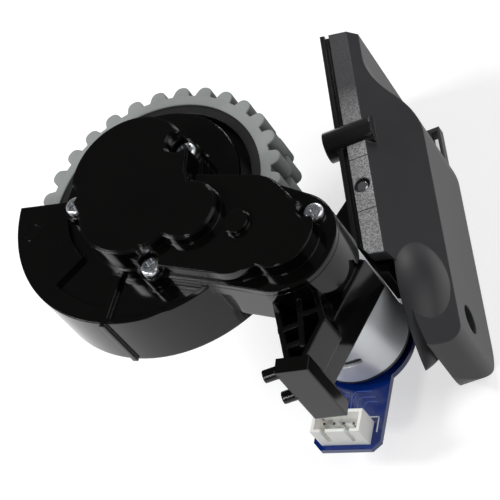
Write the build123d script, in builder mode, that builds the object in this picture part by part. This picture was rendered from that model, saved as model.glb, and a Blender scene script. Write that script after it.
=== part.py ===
from build123d import *
import os
from math import acos, atan2, cos, degrees, hypot, pi, radians, sin

# Robot vacuum drive wheel module, lying on its side.
# Origin: wheel centre. +Z runs along the axle to the gear case cover,
# +X to the outer skin of the pivot bracket, +Y along that bracket.

# Wheel
WHEEL_R = 32.5
TYRE_W = 14.0
TYRE_WALL = 2.6
LUG_H = 2.5
LUG_COUNT = 30
LUG_BASE = 4.4
LUG_FLANK = 78.0
LUG_GRIP = 0.4
TYRE_EDGE = 0.6
RIM_T = 2.4
RIM_INSET = 0.4
WEB_T = 2.0
WEB_TOP = 2.8
HUB_BOSS_R = 5.2
HUB_BOSS_END = -5.8
HUB_RIBS = 6
RIB_T = 1.5
BUSH_R = 3.2
BUSH_LEN = 3.0
AXLE_R = 2.0
AXLE_CLIP_R = 4.0
AXLE_CLIP_T = 0.6
AXLE_TIP = 0.6
RUN_GAP = 0.05
SIDE_GAP = 0.3

# Gear train, motor pinion first
MOD_MOTOR = 0.5
MOD_MID = 0.6
MOD_RING = 0.8
PINION_TEETH = 10
GEAR1_TEETH = 33
GEAR1_SMALL = 12
GEAR2_TEETH = 32
GEAR2_SMALL = 12
GEAR3_TEETH = 36
GEAR3_SMALL = 12
RING_TEETH = 36
RING_WALL = 2.2
TRAIN_ANGLES = (-90.0, -28.2, -32.2, -34.8)
SHAFT_R = 1.0
NECK_R = 3.4
GEAR_T = 1.9
POCKET_GAP = 0.35
SHAFT_SEAT_R = 2.4
SHAFT_SEAT_TOP = 9.9
SHAFT_SINK = 0.8
RING_MESH_Z = 3.2
GEAR1_Z = 13.1
GEAR2_Z = 10.2
GEAR3_Z = 15.4
GEAR1_BOTTOM = 10.2
FLOOR_HOLE_R = 5.9

# Gear case
WALL = 1.5
COVER_WALL = 1.2
CASE_FLOOR = 8.2
CASE_DISC_R = 23.0
SPLIT_Z = 11.5
FLANGE_T = 1.5
ARM_TOP = 17.0
CLOUD_TOP = 20.0
PLATE_T = 1.6
ARCH_GAP = 1.4
TOP_LOBE = (-0.4, 0.6, 15.1)
BOTTOM_LOBE = (0.0, -8.5, 14.2)
RIGHT_LOBE_R = 7.8
ARM_LOBE_R = 12.9
ARM_ROOT = (6.0, -14.5, 12.0)
DRUM_LOBE_R = 8.8
DRUM_R = 12.8
FLANGE_STEP = 0.7
BOSS_R = 3.1
BOSS_H = 1.2
COVER_EDGE = 0.4
NOTCH_WALL = 0.7

# Screws of the cover
SCREW_PLACES = ((-17.0, 0.0), (12.6, 3.6), (1.0, -25.2))
DRUM_SCREW = (41.0, -25.6)
SCREW_HEAD_R = 2.5
SCREW_HEAD_H = 1.6
SCREW_CORE_R = 1.0
SCREW_HOLE_R = 1.3
SCREW_RECESS = 0.7
SCREW_BOSS_R = 3.2
EAR_TOP = 14.4
SCREW_SKIN = 0.5
AXLE_BOSS_R = 4.0

# Wheel guard
GUARD_GAP = 1.3
GUARD_T = 1.5
GUARD_NEAR = 10.8
GUARD_FAR = -6.0
GUARD_START = 164.0
GUARD_END = 340.0
GUARD_FACE_END = 296.0
GUARD_POCKET = 213.0
GUARD_RIB = 246.0
POCKET_R = 30.8
POCKET_DROP = 2.6
GUARD_RIB_H = 0.9
GUARD_RIB_T = 1.4

# Motor
MOTOR_R = 12.2
MOTOR_LEN = 31.0
CAN_T = 1.0
MOTOR_BOSS_R = 3.0
CAP_T = 2.0
CAP_RIM_T = 0.8
MAGNET_T = 2.0
MAGNET_LEN = 20.0
MAGNET_ARC = 96.0
ROTOR_R = 8.2
FLAT_GAP = 1.7
ROTOR_LEN = 12.0
ROTOR_Z = -14.0
SLOT_COUNT = 5
SLOT_R = 1.5
SLOT_PCD_R = 6.0
COIL_R = 7.6
COIL_END = 2.4
COMM_R = 2.6
COMM_LEN = 3.0
BRUSH_T = 1.6
BUSH_OUT_R = 2.2
MOTOR_SCREW_R = 8.0
MOTOR_SCREW_CORE = 1.2
MOTOR_SCREW_TURN = 80.0
MOTOR_SCREW_HEAD = 2.2
ENCODER_R = 4.5
ENCODER_T = 1.0
VENT_L = 6.0
VENT_W = 2.4
VENT_Z = -23.0
VENT_ANGLE = -95.0
BOSS_OVER = 0.8

# Encoder board and its socket
BOARD_T = 1.6
BOARD_GAP = 0.4
BOARD_DISC_R = 12.6
BOARD_W = 17.0
BOARD_REACH = 28.5
BOARD_ANGLE = -108.0
BOARD_EDGE = 2.0
SOCKET_W = 12.4
SOCKET_D = 5.8
SOCKET_H = 7.0
SOCKET_WALL = 0.8
SOCKET_FLOOR = 1.6
SOCKET_REACH = 24.4
SOCKET_SLOT = 1.2
PIN_COUNT = 4
PIN_PITCH = 2.5
PIN_W = 0.64
PIN_TAIL = 1.2
TERMINAL_W = 2.0
TERMINAL_T = 0.5
TERMINAL_OUT = 7.0

# Spring lever below the drum
STRIP_ANGLE = -126.6
STRIP_OFF = 14.0
STRIP_START = -4.7
STRIP_END = 24.0
STRIP_FAR = -10.0
STRIP_NEAR = 1.6
SHELF_T = 1.0
LATTICE_TOP = 8.0
LATTICE_FLOOR = ((27.0, -40.0), (43.0, -37.2), (31.6, -57.0), (28.0, -57.2))
LATTICE_WALLS = (
    ((27.0, -40.6), (28.0, -56.5)),
    ((36.6, -40.6), (37.3, -49.6)),
    ((37.3, -49.6), (31.6, -57.6)),
    ((32.6, -41.6), (32.0, -54.0)),
    ((27.4, -48.6), (32.4, -48.6)),
    ((32.4, -46.4), (37.0, -46.4)),
    ((27.8, -53.2), (32.0, -53.2)),
)
LATTICE_WALL = 1.3
FOOT_ENDS = ((26.8, -57.6), (31.0, -58.6))
FOOT_T = 3.6
FOOT_FAR = -14.0
PEG_R = 1.5
PEG_L = 3.4
PEG_Z = (6.0, -4.0)

# Pivot between the arm and the bracket
PIVOT = (45.5, -3.0)
PIVOT_R = 1.5
KNUCKLE_R = 5.0
NECK_FROM = 62.0
NECK_TO = 100.0
NECK_T = 1.5
LUG_CUT = 9.0
LUG_FAR = -27.6
NECK_FAR = -15.2
CLIP_R = 3.2
CLIP_T = 0.6
CLIP_GAP = 1.6

# Bracket
BR_NEAR = -10.5
BR_DEPTH = 34.5
BR_WALL = 2.0
SKIN_X = 60.0
RIM_X = 41.0
RIM_TOP = 46.4
STRIP_X = 48.0
SLOPE_DROP = 10.0
NECK_X = 50.4
BR_BOTTOM = -49.0
BR_FOOT = ((41.0, -17.5), (44.3, -22.6), (48.4, -23.6), (50.6, -26.8), (50.6, -30.0), (51.8, -42.6),
           (53.0, -49.0))
PASS_CORNER = (50.4, -26.4)
PASS_L = 12.0
LUG_PASS = 0.8
CURVE_TOP = 37.0
CURVE_LOW = 14.0
RIM_DROP = 2.0
BR_CORNER_R = 6.5
SLOPE_IN = 2.6
END_R = 14.0
LIP_W = 1.2
GROOVE_W = 1.1
GROOVE_D = 1.2
EAR_T = 2.0
EAR_Z = -28.0
EAR_HALF = 6.5
PIVOT_SINK_R = 2.1
PIVOT_SINK_D = 0.8
POST_R = 3.9
POST_Y = 13.0
POST_Z = -12.6
POST_OUT = 3.0
POST_LEN = 12.5
POST_HOLE_R = 1.3
POST_HOLE_L = 9.0
SEAT_Y = -36.0
SEAT_Z = -30.0
SEAT_R = 3.6
SEAT_DEPTH = 3.0
SEAT_HOLE_R = 1.7
SEAT_POST_R = 4.6
SEAT_POST_X = 50.0
DOME_Y = -31.0
DOME_L = 40.0
DOME_R = 10.0
DOME_RISE = 2.4
DOME_X = 54.5
TAB_L = 14.0
TAB_Y = 25.0
TAB_T = 3.0
TAB_SLOT_L = 8.0
TAB_SLOT_W = 1.6
TAB_OUT = 58.5
TAB_IN = 52.0

# Places worked out from the sizes above
BR_FAR = BR_NEAR - BR_DEPTH
HALF_W = TYRE_W / 2
TYRE_BORE_R = WHEEL_R - LUG_H - TYRE_WALL
ARCH_R = WHEEL_R + ARCH_GAP
GUARD_R = WHEEL_R + GUARD_GAP + GUARD_T
FLAT_R = WHEEL_R + FLAT_GAP
RING_PITCH_R = MOD_RING * RING_TEETH / 2
RING_OUT_R = RING_PITCH_R + MOD_RING + RING_WALL


def step_from(start, distance, angle):
    """Point at a distance and a direction in degrees from another."""
    return (start[0] + distance * cos(radians(angle)), start[1] + distance * sin(radians(angle)))


STEP_RING = MOD_RING * (RING_TEETH - GEAR3_SMALL) / 2
STEP_3 = MOD_MID * (GEAR3_TEETH + GEAR2_SMALL) / 2
STEP_2 = MOD_MID * (GEAR2_TEETH + GEAR1_SMALL) / 2
STEP_1 = MOD_MOTOR * (GEAR1_TEETH + PINION_TEETH) / 2
SHAFT3 = step_from((0, 0), STEP_RING, TRAIN_ANGLES[0])
SHAFT2 = step_from(SHAFT3, STEP_3, TRAIN_ANGLES[1])
SHAFT1 = step_from(SHAFT2, STEP_2, TRAIN_ANGLES[2])
MOTOR = step_from(SHAFT1, STEP_1, TRAIN_ANGLES[3])
CHAMBER_Z = CASE_FLOOR + WALL
FLANGE_TOP = SPLIT_Z + FLANGE_T
CAP_FAR = -MOTOR_LEN - CAP_RIM_T
BOARD_NEAR = CAP_FAR - BOARD_GAP - ENCODER_T - BOARD_GAP
BOARD_FAR = BOARD_NEAR - BOARD_T
PIVOT_ANGLE = degrees(atan2(PIVOT[1] - MOTOR[1], PIVOT[0] - MOTOR[0]))
MOTOR_AWAY = hypot(*MOTOR)
FLAT_OFF = MOTOR_AWAY - FLAT_R
WHEEL_SIDE = degrees(atan2(-MOTOR[1], -MOTOR[0]))
CAM = 0.2

ROOT_WIDTH = 0.56
TIP_WIDTH = 0.22
GAP_MOUTH = 0.70
GAP_ROOT = 0.42
ADDENDUM = 0.90
DEDENDUM = 1.2
RING_ADDENDUM = 0.75


def tooth_points(teeth, low_r, high_r, low_width, high_width, phase):
    """Straight sided teeth: four corners each, one tooth centred on the phase angle."""
    pitch = 2 * pi / teeth
    points = []
    for index in range(teeth):
        middle = phase + index * pitch
        for radius, width in ((low_r, -low_width), (high_r, -high_width),
                              (high_r, high_width), (low_r, low_width)):
            angle = middle + width * pitch / 2
            points.append((radius * cos(angle), radius * sin(angle)))
    return points


def gear_points(module, teeth, phase):
    pitch_r = module * teeth / 2
    return tooth_points(teeth, pitch_r - DEDENDUM * module, pitch_r + ADDENDUM * module,
                        ROOT_WIDTH, TIP_WIDTH, phase)


def next_phase(phase, teeth, direction, next_teeth):
    """Phase that puts a gap of the next gear on a tooth of this one."""
    line = radians(direction)
    share = (line - phase) * teeth / (2 * pi)
    return line + pi - (0.5 - share) * 2 * pi / next_teeth


RING_PHASE = radians(TRAIN_ANGLES[0])
GEAR2_SMALL_PHASE = next_phase(0.0, GEAR3_TEETH, TRAIN_ANGLES[1], GEAR2_SMALL)
GEAR1_SMALL_PHASE = next_phase(0.0, GEAR2_TEETH, TRAIN_ANGLES[2], GEAR1_SMALL)
PINION_PHASE = next_phase(0.0, GEAR1_TEETH, TRAIN_ANGLES[3], PINION_TEETH)


def disc(place, radius, mode=Mode.ADD):
    with Locations(place):
        Circle(radius, mode=mode)


def turned(place, angle):
    """Spot for a shape turned by an angle."""
    return Locations(Location((place[0], place[1], 0), (0, 0, angle)))


def round_hull(*circles):
    """Outline stretched round circles, each given as x, y, radius."""
    make_hull([Edge.make_circle(radius, Plane((x, y, 0))) for x, y, radius in circles])


def bar(start, end, width, mode=Mode.ADD):
    """Straight bar between two points."""
    middle = ((start[0] + end[0]) / 2, (start[1] + end[1]) / 2)
    run = (end[0] - start[0], end[1] - start[1])
    with turned(middle, degrees(atan2(run[1], run[0]))):
        Rectangle(hypot(*run) + width, width, mode=mode)


def sector(inner, outer, start, end, middle=(0, 0)):
    """Part of a ring between two angles."""
    ground = Plane((middle[0], middle[1], 0))
    make_face([
        Edge.make_circle(outer, ground, start, end),
        Edge.make_line(step_from(middle, outer, end), step_from(middle, inner, end)),
        Edge.make_circle(inner, ground, start, end),
        Edge.make_line(step_from(middle, inner, start), step_from(middle, outer, start)),
    ])


def cloud_shape(grow=0.0, mode=Mode.ADD):
    """Outline of the raised lobes over the wheel."""
    disc(TOP_LOBE[:2], TOP_LOBE[2] + grow, mode)
    disc(BOTTOM_LOBE[:2], BOTTOM_LOBE[2] + grow, mode)
    disc(SHAFT2, RIGHT_LOBE_R + grow, mode)


def arm_shape(grow=0.0):
    """Outline of the raised arm of the cover."""
    round_hull((SHAFT1[0], SHAFT1[1], ARM_LOBE_R + grow),
               (ARM_ROOT[0], ARM_ROOT[1], ARM_ROOT[2] + grow))
    disc(MOTOR, DRUM_LOBE_R + grow)


def drum_shape(grow=0.0):
    """Outline of the deep end of the case, round the first gear and the motor."""
    round_hull((SHAFT1[0], SHAFT1[1], ARM_LOBE_R + FLANGE_STEP + grow),
               (MOTOR[0], MOTOR[1], DRUM_R + grow))


def chamber_shape(grow=0.0):
    """Outline of the closed gear chamber."""
    cloud_shape(FLANGE_STEP + grow)
    arm_shape(FLANGE_STEP + grow)
    drum_shape(grow)


def motor_shape(radius, flat):
    """Round outline with a flat on the side of the wheel."""
    with turned(MOTOR, WHEEL_SIDE):
        Circle(radius)
        with Locations((flat + radius, 0)):
            Rectangle(2 * radius, 2 * radius, mode=Mode.SUBTRACT)


def round_spots(radius, mode=Mode.ADD):
    """Circles at the three screws beside the lobes."""
    with Locations(*SCREW_PLACES):
        Circle(radius, mode=mode)


os.makedirs("parts", exist_ok=True)

# Tyre with two staggered rows of lugs
LUG_FOOT_R = WHEEL_R - LUG_H - LUG_GRIP
with BuildPart() as tyre:
    with BuildSketch(Plane.XZ):
        with Locations(((TYRE_BORE_R + WHEEL_R - LUG_H) / 2, 0)):
            Rectangle(WHEEL_R - LUG_H - TYRE_BORE_R, TYRE_W)
            chamfer(vertices().group_by(Axis.X)[-1], TYRE_EDGE)
    revolve(axis=Axis.Z)
    for row_start, row_turn in ((0.0, 0.0), (-HALF_W, 180.0 / LUG_COUNT)):
        with BuildSketch(Plane.XY.offset(row_start)):
            with PolarLocations(LUG_FOOT_R + (LUG_H + LUG_GRIP) / 2, LUG_COUNT, row_turn):
                Trapezoid(LUG_BASE, LUG_H + LUG_GRIP, LUG_FLANK, rotation=-90)
        extrude(amount=HALF_W)
tyre.part.label = "tyre"
export_step(tyre.part, "parts/tyre.step")

# Wheel hub with the ring gear moulded in
HUB_FAR = -HALF_W + RIM_INSET
SPOKE_FROM = HUB_BOSS_R - RIB_T / 3
SPOKE_TO = TYRE_BORE_R - RIM_T / 2
with BuildPart() as wheel_hub:
    with BuildSketch(Plane.XY.offset(HUB_FAR)):
        Circle(TYRE_BORE_R)
        Circle(TYRE_BORE_R - RIM_T, mode=Mode.SUBTRACT)
    extrude(amount=TYRE_W - 2 * RIM_INSET)
    with BuildSketch(Plane.XY.offset(WEB_TOP - WEB_T)):
        Circle(TYRE_BORE_R - RIM_T / 2)
    extrude(amount=WEB_T)
    with BuildSketch(Plane.XY.offset(WEB_TOP)):
        Circle(RING_OUT_R)
        Polygon(*tooth_points(RING_TEETH, RING_PITCH_R - RING_ADDENDUM * MOD_RING,
                              RING_PITCH_R + DEDENDUM * MOD_RING, GAP_MOUTH, GAP_ROOT, RING_PHASE),
                align=None, mode=Mode.SUBTRACT)
    extrude(amount=HALF_W - WEB_TOP)
    with BuildSketch(Plane.XY.offset(HUB_BOSS_END)):
        Circle(HUB_BOSS_R)
        with PolarLocations((SPOKE_FROM + SPOKE_TO) / 2, HUB_RIBS):
            Rectangle(SPOKE_TO - SPOKE_FROM, RIB_T)
    extrude(amount=WEB_TOP - WEB_T - HUB_BOSS_END)
    with BuildSketch(Plane.XY.offset(HUB_BOSS_END)):
        Circle(BUSH_R)
    extrude(amount=WEB_TOP - HUB_BOSS_END, mode=Mode.SUBTRACT)
wheel_hub.part.label = "wheel_hub"
export_step(wheel_hub.part, "parts/wheel_hub.step")

with BuildPart() as hub_bushes:
    for bush_low in (HUB_BOSS_END, WEB_TOP - BUSH_LEN):
        with BuildSketch(Plane.XY.offset(bush_low)):
            Circle(BUSH_R)
            Circle(AXLE_R + RUN_GAP, mode=Mode.SUBTRACT)
        extrude(amount=BUSH_LEN)
hub_bushes.part.label = "hub_bushes"
export_step(hub_bushes.part, "parts/hub_bushes.step")

# Axle pin, fixed in the case, and its clip
AXLE_BOSS_TOP = GEAR3_Z - WALL
CLIP_TOP = HUB_BOSS_END - SIDE_GAP
AXLE_LOW = CLIP_TOP - AXLE_CLIP_T - AXLE_TIP
with BuildPart() as axle_pin:
    with BuildSketch(Plane.XY.offset(AXLE_LOW)):
        Circle(AXLE_R)
    extrude(amount=AXLE_BOSS_TOP - AXLE_LOW)
    chamfer(axle_pin.edges().filter_by(GeomType.CIRCLE), SIDE_GAP)
axle_pin.part.label = "axle_pin"
export_step(axle_pin.part, "parts/axle_pin.step")

with BuildPart() as axle_clip:
    with BuildSketch(Plane.XY.offset(CLIP_TOP - AXLE_CLIP_T)):
        Circle(AXLE_CLIP_R)
        Circle(AXLE_R, mode=Mode.SUBTRACT)
        Rectangle(AXLE_CLIP_R * 2, CLIP_GAP, align=(Align.MIN, Align.CENTER), mode=Mode.SUBTRACT)
    extrude(amount=AXLE_CLIP_T)
axle_clip.part.label = "axle_clip"
export_step(axle_clip.part, "parts/axle_clip.step")

# Compound gears, each a small and a large wheel on one sleeve
with BuildPart() as compound_gear_1:
    with BuildSketch(Plane.XY.offset(GEAR1_BOTTOM)):
        with Locations(SHAFT1):
            Polygon(*gear_points(MOD_MID, GEAR1_SMALL, GEAR1_SMALL_PHASE), align=None)
    extrude(amount=GEAR1_Z - GEAR1_BOTTOM)
    with BuildSketch(Plane.XY.offset(GEAR1_Z)):
        with Locations(SHAFT1):
            Polygon(*gear_points(MOD_MOTOR, GEAR1_TEETH, 0.0), align=None)
    extrude(amount=GEAR_T)
    with BuildSketch(Plane.XY.offset(GEAR1_BOTTOM)):
        disc(SHAFT1, SHAFT_R + RUN_GAP)
    extrude(amount=GEAR1_Z + GEAR_T - GEAR1_BOTTOM, mode=Mode.SUBTRACT)
compound_gear_1.part.label = "compound_gear_1"
export_step(compound_gear_1.part, "parts/compound_gear_1.step")

with BuildPart() as compound_gear_2:
    with BuildSketch(Plane.XY.offset(GEAR2_Z)):
        with Locations(SHAFT2):
            Polygon(*gear_points(MOD_MID, GEAR2_TEETH, 0.0), align=None)
    extrude(amount=GEAR_T)
    with BuildSketch(Plane.XY.offset(GEAR2_Z + GEAR_T)):
        with Locations(SHAFT2):
            Polygon(*gear_points(MOD_MID, GEAR2_SMALL, GEAR2_SMALL_PHASE), align=None)
    extrude(amount=GEAR3_Z - GEAR2_Z)
    with BuildSketch(Plane.XY.offset(GEAR2_Z)):
        disc(SHAFT2, SHAFT_R + RUN_GAP)
    extrude(amount=GEAR3_Z + GEAR_T - GEAR2_Z, mode=Mode.SUBTRACT)
compound_gear_2.part.label = "compound_gear_2"
export_step(compound_gear_2.part, "parts/compound_gear_2.step")

RING_MESH_TOP = CASE_FLOOR + SIDE_GAP
with BuildPart() as compound_gear_3:
    with BuildSketch(Plane.XY.offset(RING_MESH_Z)):
        with Locations(SHAFT3):
            Polygon(*gear_points(MOD_RING, GEAR3_SMALL, RING_PHASE), align=None)
    extrude(amount=RING_MESH_TOP - RING_MESH_Z)
    with BuildSketch(Plane.XY.offset(RING_MESH_TOP)):
        disc(SHAFT3, NECK_R)
    extrude(amount=GEAR3_Z - RING_MESH_TOP)
    with BuildSketch(Plane.XY.offset(GEAR3_Z)):
        with Locations(SHAFT3):
            Polygon(*gear_points(MOD_MID, GEAR3_TEETH, 0.0), align=None)
    extrude(amount=GEAR_T)
    with BuildSketch(Plane.XY.offset(RING_MESH_Z)):
        disc(SHAFT3, SHAFT_R + RUN_GAP)
    extrude(amount=GEAR3_Z + GEAR_T - RING_MESH_Z, mode=Mode.SUBTRACT)
compound_gear_3.part.label = "compound_gear_3"
export_step(compound_gear_3.part, "parts/compound_gear_3.step")

# Shafts the gears turn on
ARM_CEILING = ARM_TOP - COVER_WALL
CLOUD_CEILING = CLOUD_TOP - COVER_WALL
with BuildPart() as gear_shaft_1:
    with BuildSketch(Plane.XY.offset(CASE_FLOOR)):
        disc(SHAFT1, SHAFT_R)
    extrude(amount=ARM_CEILING + SHAFT_SINK - CASE_FLOOR)
gear_shaft_1.part.label = "gear_shaft_1"
export_step(gear_shaft_1.part, "parts/gear_shaft_1.step")

with BuildPart() as gear_shaft_2:
    with BuildSketch(Plane.XY.offset(CASE_FLOOR)):
        disc(SHAFT2, SHAFT_R)
    extrude(amount=CLOUD_CEILING + SHAFT_SINK - CASE_FLOOR)
gear_shaft_2.part.label = "gear_shaft_2"
export_step(gear_shaft_2.part, "parts/gear_shaft_2.step")

with BuildPart() as gear_shaft_3:
    with BuildSketch(Plane.XY.offset(RING_MESH_Z)):
        disc(SHAFT3, SHAFT_R)
    extrude(amount=CLOUD_CEILING + SHAFT_SINK - RING_MESH_Z)
gear_shaft_3.part.label = "gear_shaft_3"
export_step(gear_shaft_3.part, "parts/gear_shaft_3.step")

# Gear case: floor, chamber wall, deep motor end, wheel guard, spring lever and pivot lug
GEAR2_POCKET_R = MOD_MID * GEAR2_TEETH / 2 + MOD_MID + POCKET_GAP
STRIP_MID = STRIP_OFF - GUARD_T / 2
STRIP_TOP = step_from(step_from(MOTOR, STRIP_MID, STRIP_ANGLE + 90), STRIP_START, STRIP_ANGLE)
STRIP_LOW = step_from(step_from(MOTOR, STRIP_MID, STRIP_ANGLE + 90), STRIP_END, STRIP_ANGLE)
NECK_IN = MOTOR_R + CAM
CHORD = LUG_CUT
with BuildPart() as gear_case:
    with BuildSketch(Plane.XY.offset(CASE_FLOOR)):
        Circle(CASE_DISC_R)
        sector(CASE_DISC_R - WALL, GUARD_R, GUARD_START, GUARD_FACE_END)
        chamber_shape()
        round_spots(SCREW_BOSS_R)
    extrude(amount=WALL)
    with BuildSketch(Plane.XY.offset(CASE_FLOOR)):
        chamber_shape()
        round_spots(SCREW_BOSS_R)
    extrude(amount=SPLIT_Z - CASE_FLOOR)
    with BuildSketch(Plane.XY.offset(CASE_FLOOR)):
        sector(CASE_DISC_R - WALL, GUARD_R, GUARD_START, GUARD_POCKET)
        sector(POCKET_R, GUARD_R, GUARD_POCKET, GUARD_RIB)
    extrude(amount=GUARD_NEAR - CASE_FLOOR)
    with BuildSketch(Plane.XY.offset(GUARD_FAR)):
        sector(ARCH_R, GUARD_R, GUARD_START, GUARD_FACE_END)
        bar(step_from((0, 0), GUARD_R - GUARD_T / 2, GUARD_RIB),
            step_from((0, 0), GUARD_R, GUARD_RIB), GUARD_RIB_T)
    extrude(amount=GUARD_NEAR - GUARD_FAR)
    with BuildSketch(Plane.XY.offset(CASE_FLOOR)):
        bar(step_from((0, 0), CASE_DISC_R, GUARD_RIB),
            step_from((0, 0), GUARD_R - GUARD_T / 2, GUARD_RIB), GUARD_RIB_T)
    extrude(amount=GUARD_NEAR - CASE_FLOOR)
    with BuildSketch(Plane.XY.offset(GUARD_FAR)):
        sector(ARCH_R, GUARD_R, GUARD_FACE_END, GUARD_END)
    extrude(amount=CASE_FLOOR - GUARD_FAR)
    with BuildSketch():
        drum_shape()
        Circle(ARCH_R, mode=Mode.SUBTRACT)
    extrude(amount=SPLIT_Z)
    with BuildSketch(Plane.XY.offset(-SHELF_T)):
        Polygon(*LATTICE_FLOOR, align=None)
        bar(STRIP_TOP, STRIP_LOW, GUARD_T)
    extrude(amount=2 * SHELF_T)
    with BuildSketch(Plane.XY.offset(-SHELF_T)):
        for wall_start, wall_end in LATTICE_WALLS:
            bar(wall_start, wall_end, LATTICE_WALL)
    extrude(amount=LATTICE_TOP + SHELF_T)
    with BuildSketch(Plane.XY.offset(STRIP_FAR)):
        bar(STRIP_TOP, STRIP_LOW, GUARD_T)
    extrude(amount=STRIP_NEAR - STRIP_FAR)
    with BuildSketch(Plane.XY.offset(FOOT_FAR)):
        bar(FOOT_ENDS[0], FOOT_ENDS[1], FOOT_T)
    extrude(amount=LATTICE_TOP - FOOT_FAR)
    with BuildSketch(Plane.YZ.offset(FOOT_ENDS[0][0] - FOOT_T / 2 - PEG_L)):
        with Locations(*[(FOOT_ENDS[0][1], peg_z) for peg_z in PEG_Z]):
            Circle(PEG_R)
    extrude(amount=PEG_L + FOOT_T / 2)
    with BuildSketch(Plane.XY.offset(-MOTOR_LEN)):
        disc(MOTOR, MOTOR_R + CAM)
    extrude(amount=MOTOR_LEN, mode=Mode.SUBTRACT)
    with BuildSketch(Plane.XY.offset(NECK_FAR)):
        sector(NECK_IN, NECK_IN + NECK_T, NECK_FROM, NECK_TO, MOTOR)
    extrude(amount=CASE_FLOOR - NECK_FAR)
    with BuildSketch(Plane.XY.offset(LUG_FAR)):
        round_hull((PIVOT[0], PIVOT[1], KNUCKLE_R), (MOTOR[0], MOTOR[1], NECK_IN + NECK_T))
        disc(MOTOR, NECK_IN, Mode.SUBTRACT)
        with turned(MOTOR, PIVOT_ANGLE):
            with Locations((CHORD, 0)):
                Rectangle(MOTOR_R * 4, MOTOR_R * 4, align=(Align.MAX, Align.CENTER), mode=Mode.SUBTRACT)
    extrude(amount=NECK_FAR - LUG_FAR)
    with BuildSketch(Plane.XY.offset(LUG_FAR)):
        disc(PIVOT, PIVOT_R + RUN_GAP)
    extrude(amount=NECK_FAR - LUG_FAR, mode=Mode.SUBTRACT)
    with BuildSketch(Plane.XY.offset(CHAMBER_Z)):
        chamber_shape(-WALL)
        round_spots(SCREW_BOSS_R, Mode.SUBTRACT)
        disc(DRUM_SCREW, SCREW_BOSS_R, Mode.SUBTRACT)
        disc(SHAFT2, GEAR2_POCKET_R)
    extrude(amount=SPLIT_Z - CHAMBER_Z, mode=Mode.SUBTRACT)
    with BuildSketch(Plane.XY.offset(PLATE_T)):
        drum_shape(-WALL)
        Circle(ARCH_R + WALL, mode=Mode.SUBTRACT)
        disc(SHAFT1, SHAFT_SEAT_R, Mode.SUBTRACT)
        disc(DRUM_SCREW, SCREW_BOSS_R, Mode.SUBTRACT)
    extrude(amount=SPLIT_Z - PLATE_T, mode=Mode.SUBTRACT)
    with BuildSketch(Plane.XY.offset(CASE_FLOOR)):
        disc(SHAFT3, FLOOR_HOLE_R)
    extrude(amount=SPLIT_Z - CASE_FLOOR, mode=Mode.SUBTRACT)
    with BuildSketch(Plane.XY.offset(CASE_FLOOR)):
        Circle(AXLE_BOSS_R)
        disc(SHAFT3, NECK_R + SIDE_GAP, Mode.SUBTRACT)
    extrude(amount=AXLE_BOSS_TOP - CASE_FLOOR)
    with BuildSketch(Plane.XY.offset(CASE_FLOOR)):
        disc(SHAFT3, FLOOR_HOLE_R)
    extrude(amount=RING_MESH_TOP + SIDE_GAP - CASE_FLOOR, mode=Mode.SUBTRACT)
    with BuildSketch(Plane.XY.offset(CASE_FLOOR)):
        with Locations(SHAFT1, SHAFT2):
            Circle(SHAFT_SEAT_R)
    extrude(amount=SHAFT_SEAT_TOP - CASE_FLOOR)
    with BuildSketch(Plane.XY.offset(CASE_FLOOR)):
        with Locations(SHAFT1, SHAFT2):
            Circle(SHAFT_R)
        Circle(AXLE_R)
    extrude(amount=AXLE_BOSS_TOP - CASE_FLOOR, mode=Mode.SUBTRACT)
    with BuildSketch(Plane.XY.offset(CASE_FLOOR + SCREW_SKIN)):
        round_spots(SCREW_CORE_R)
        disc(DRUM_SCREW, SCREW_CORE_R)
    extrude(amount=SPLIT_Z - CASE_FLOOR - SCREW_SKIN, mode=Mode.SUBTRACT)
    with BuildSketch():
        disc(MOTOR, MOTOR_BOSS_R)
        with turned(MOTOR, MOTOR_SCREW_TURN):
            with Locations((MOTOR_SCREW_R, 0), (-MOTOR_SCREW_R, 0)):
                Circle(MOTOR_SCREW_CORE + CAM)
    extrude(amount=PLATE_T, mode=Mode.SUBTRACT)
gear_case.part.label = "gear_case"
export_step(gear_case.part, "parts/gear_case.step")

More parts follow.
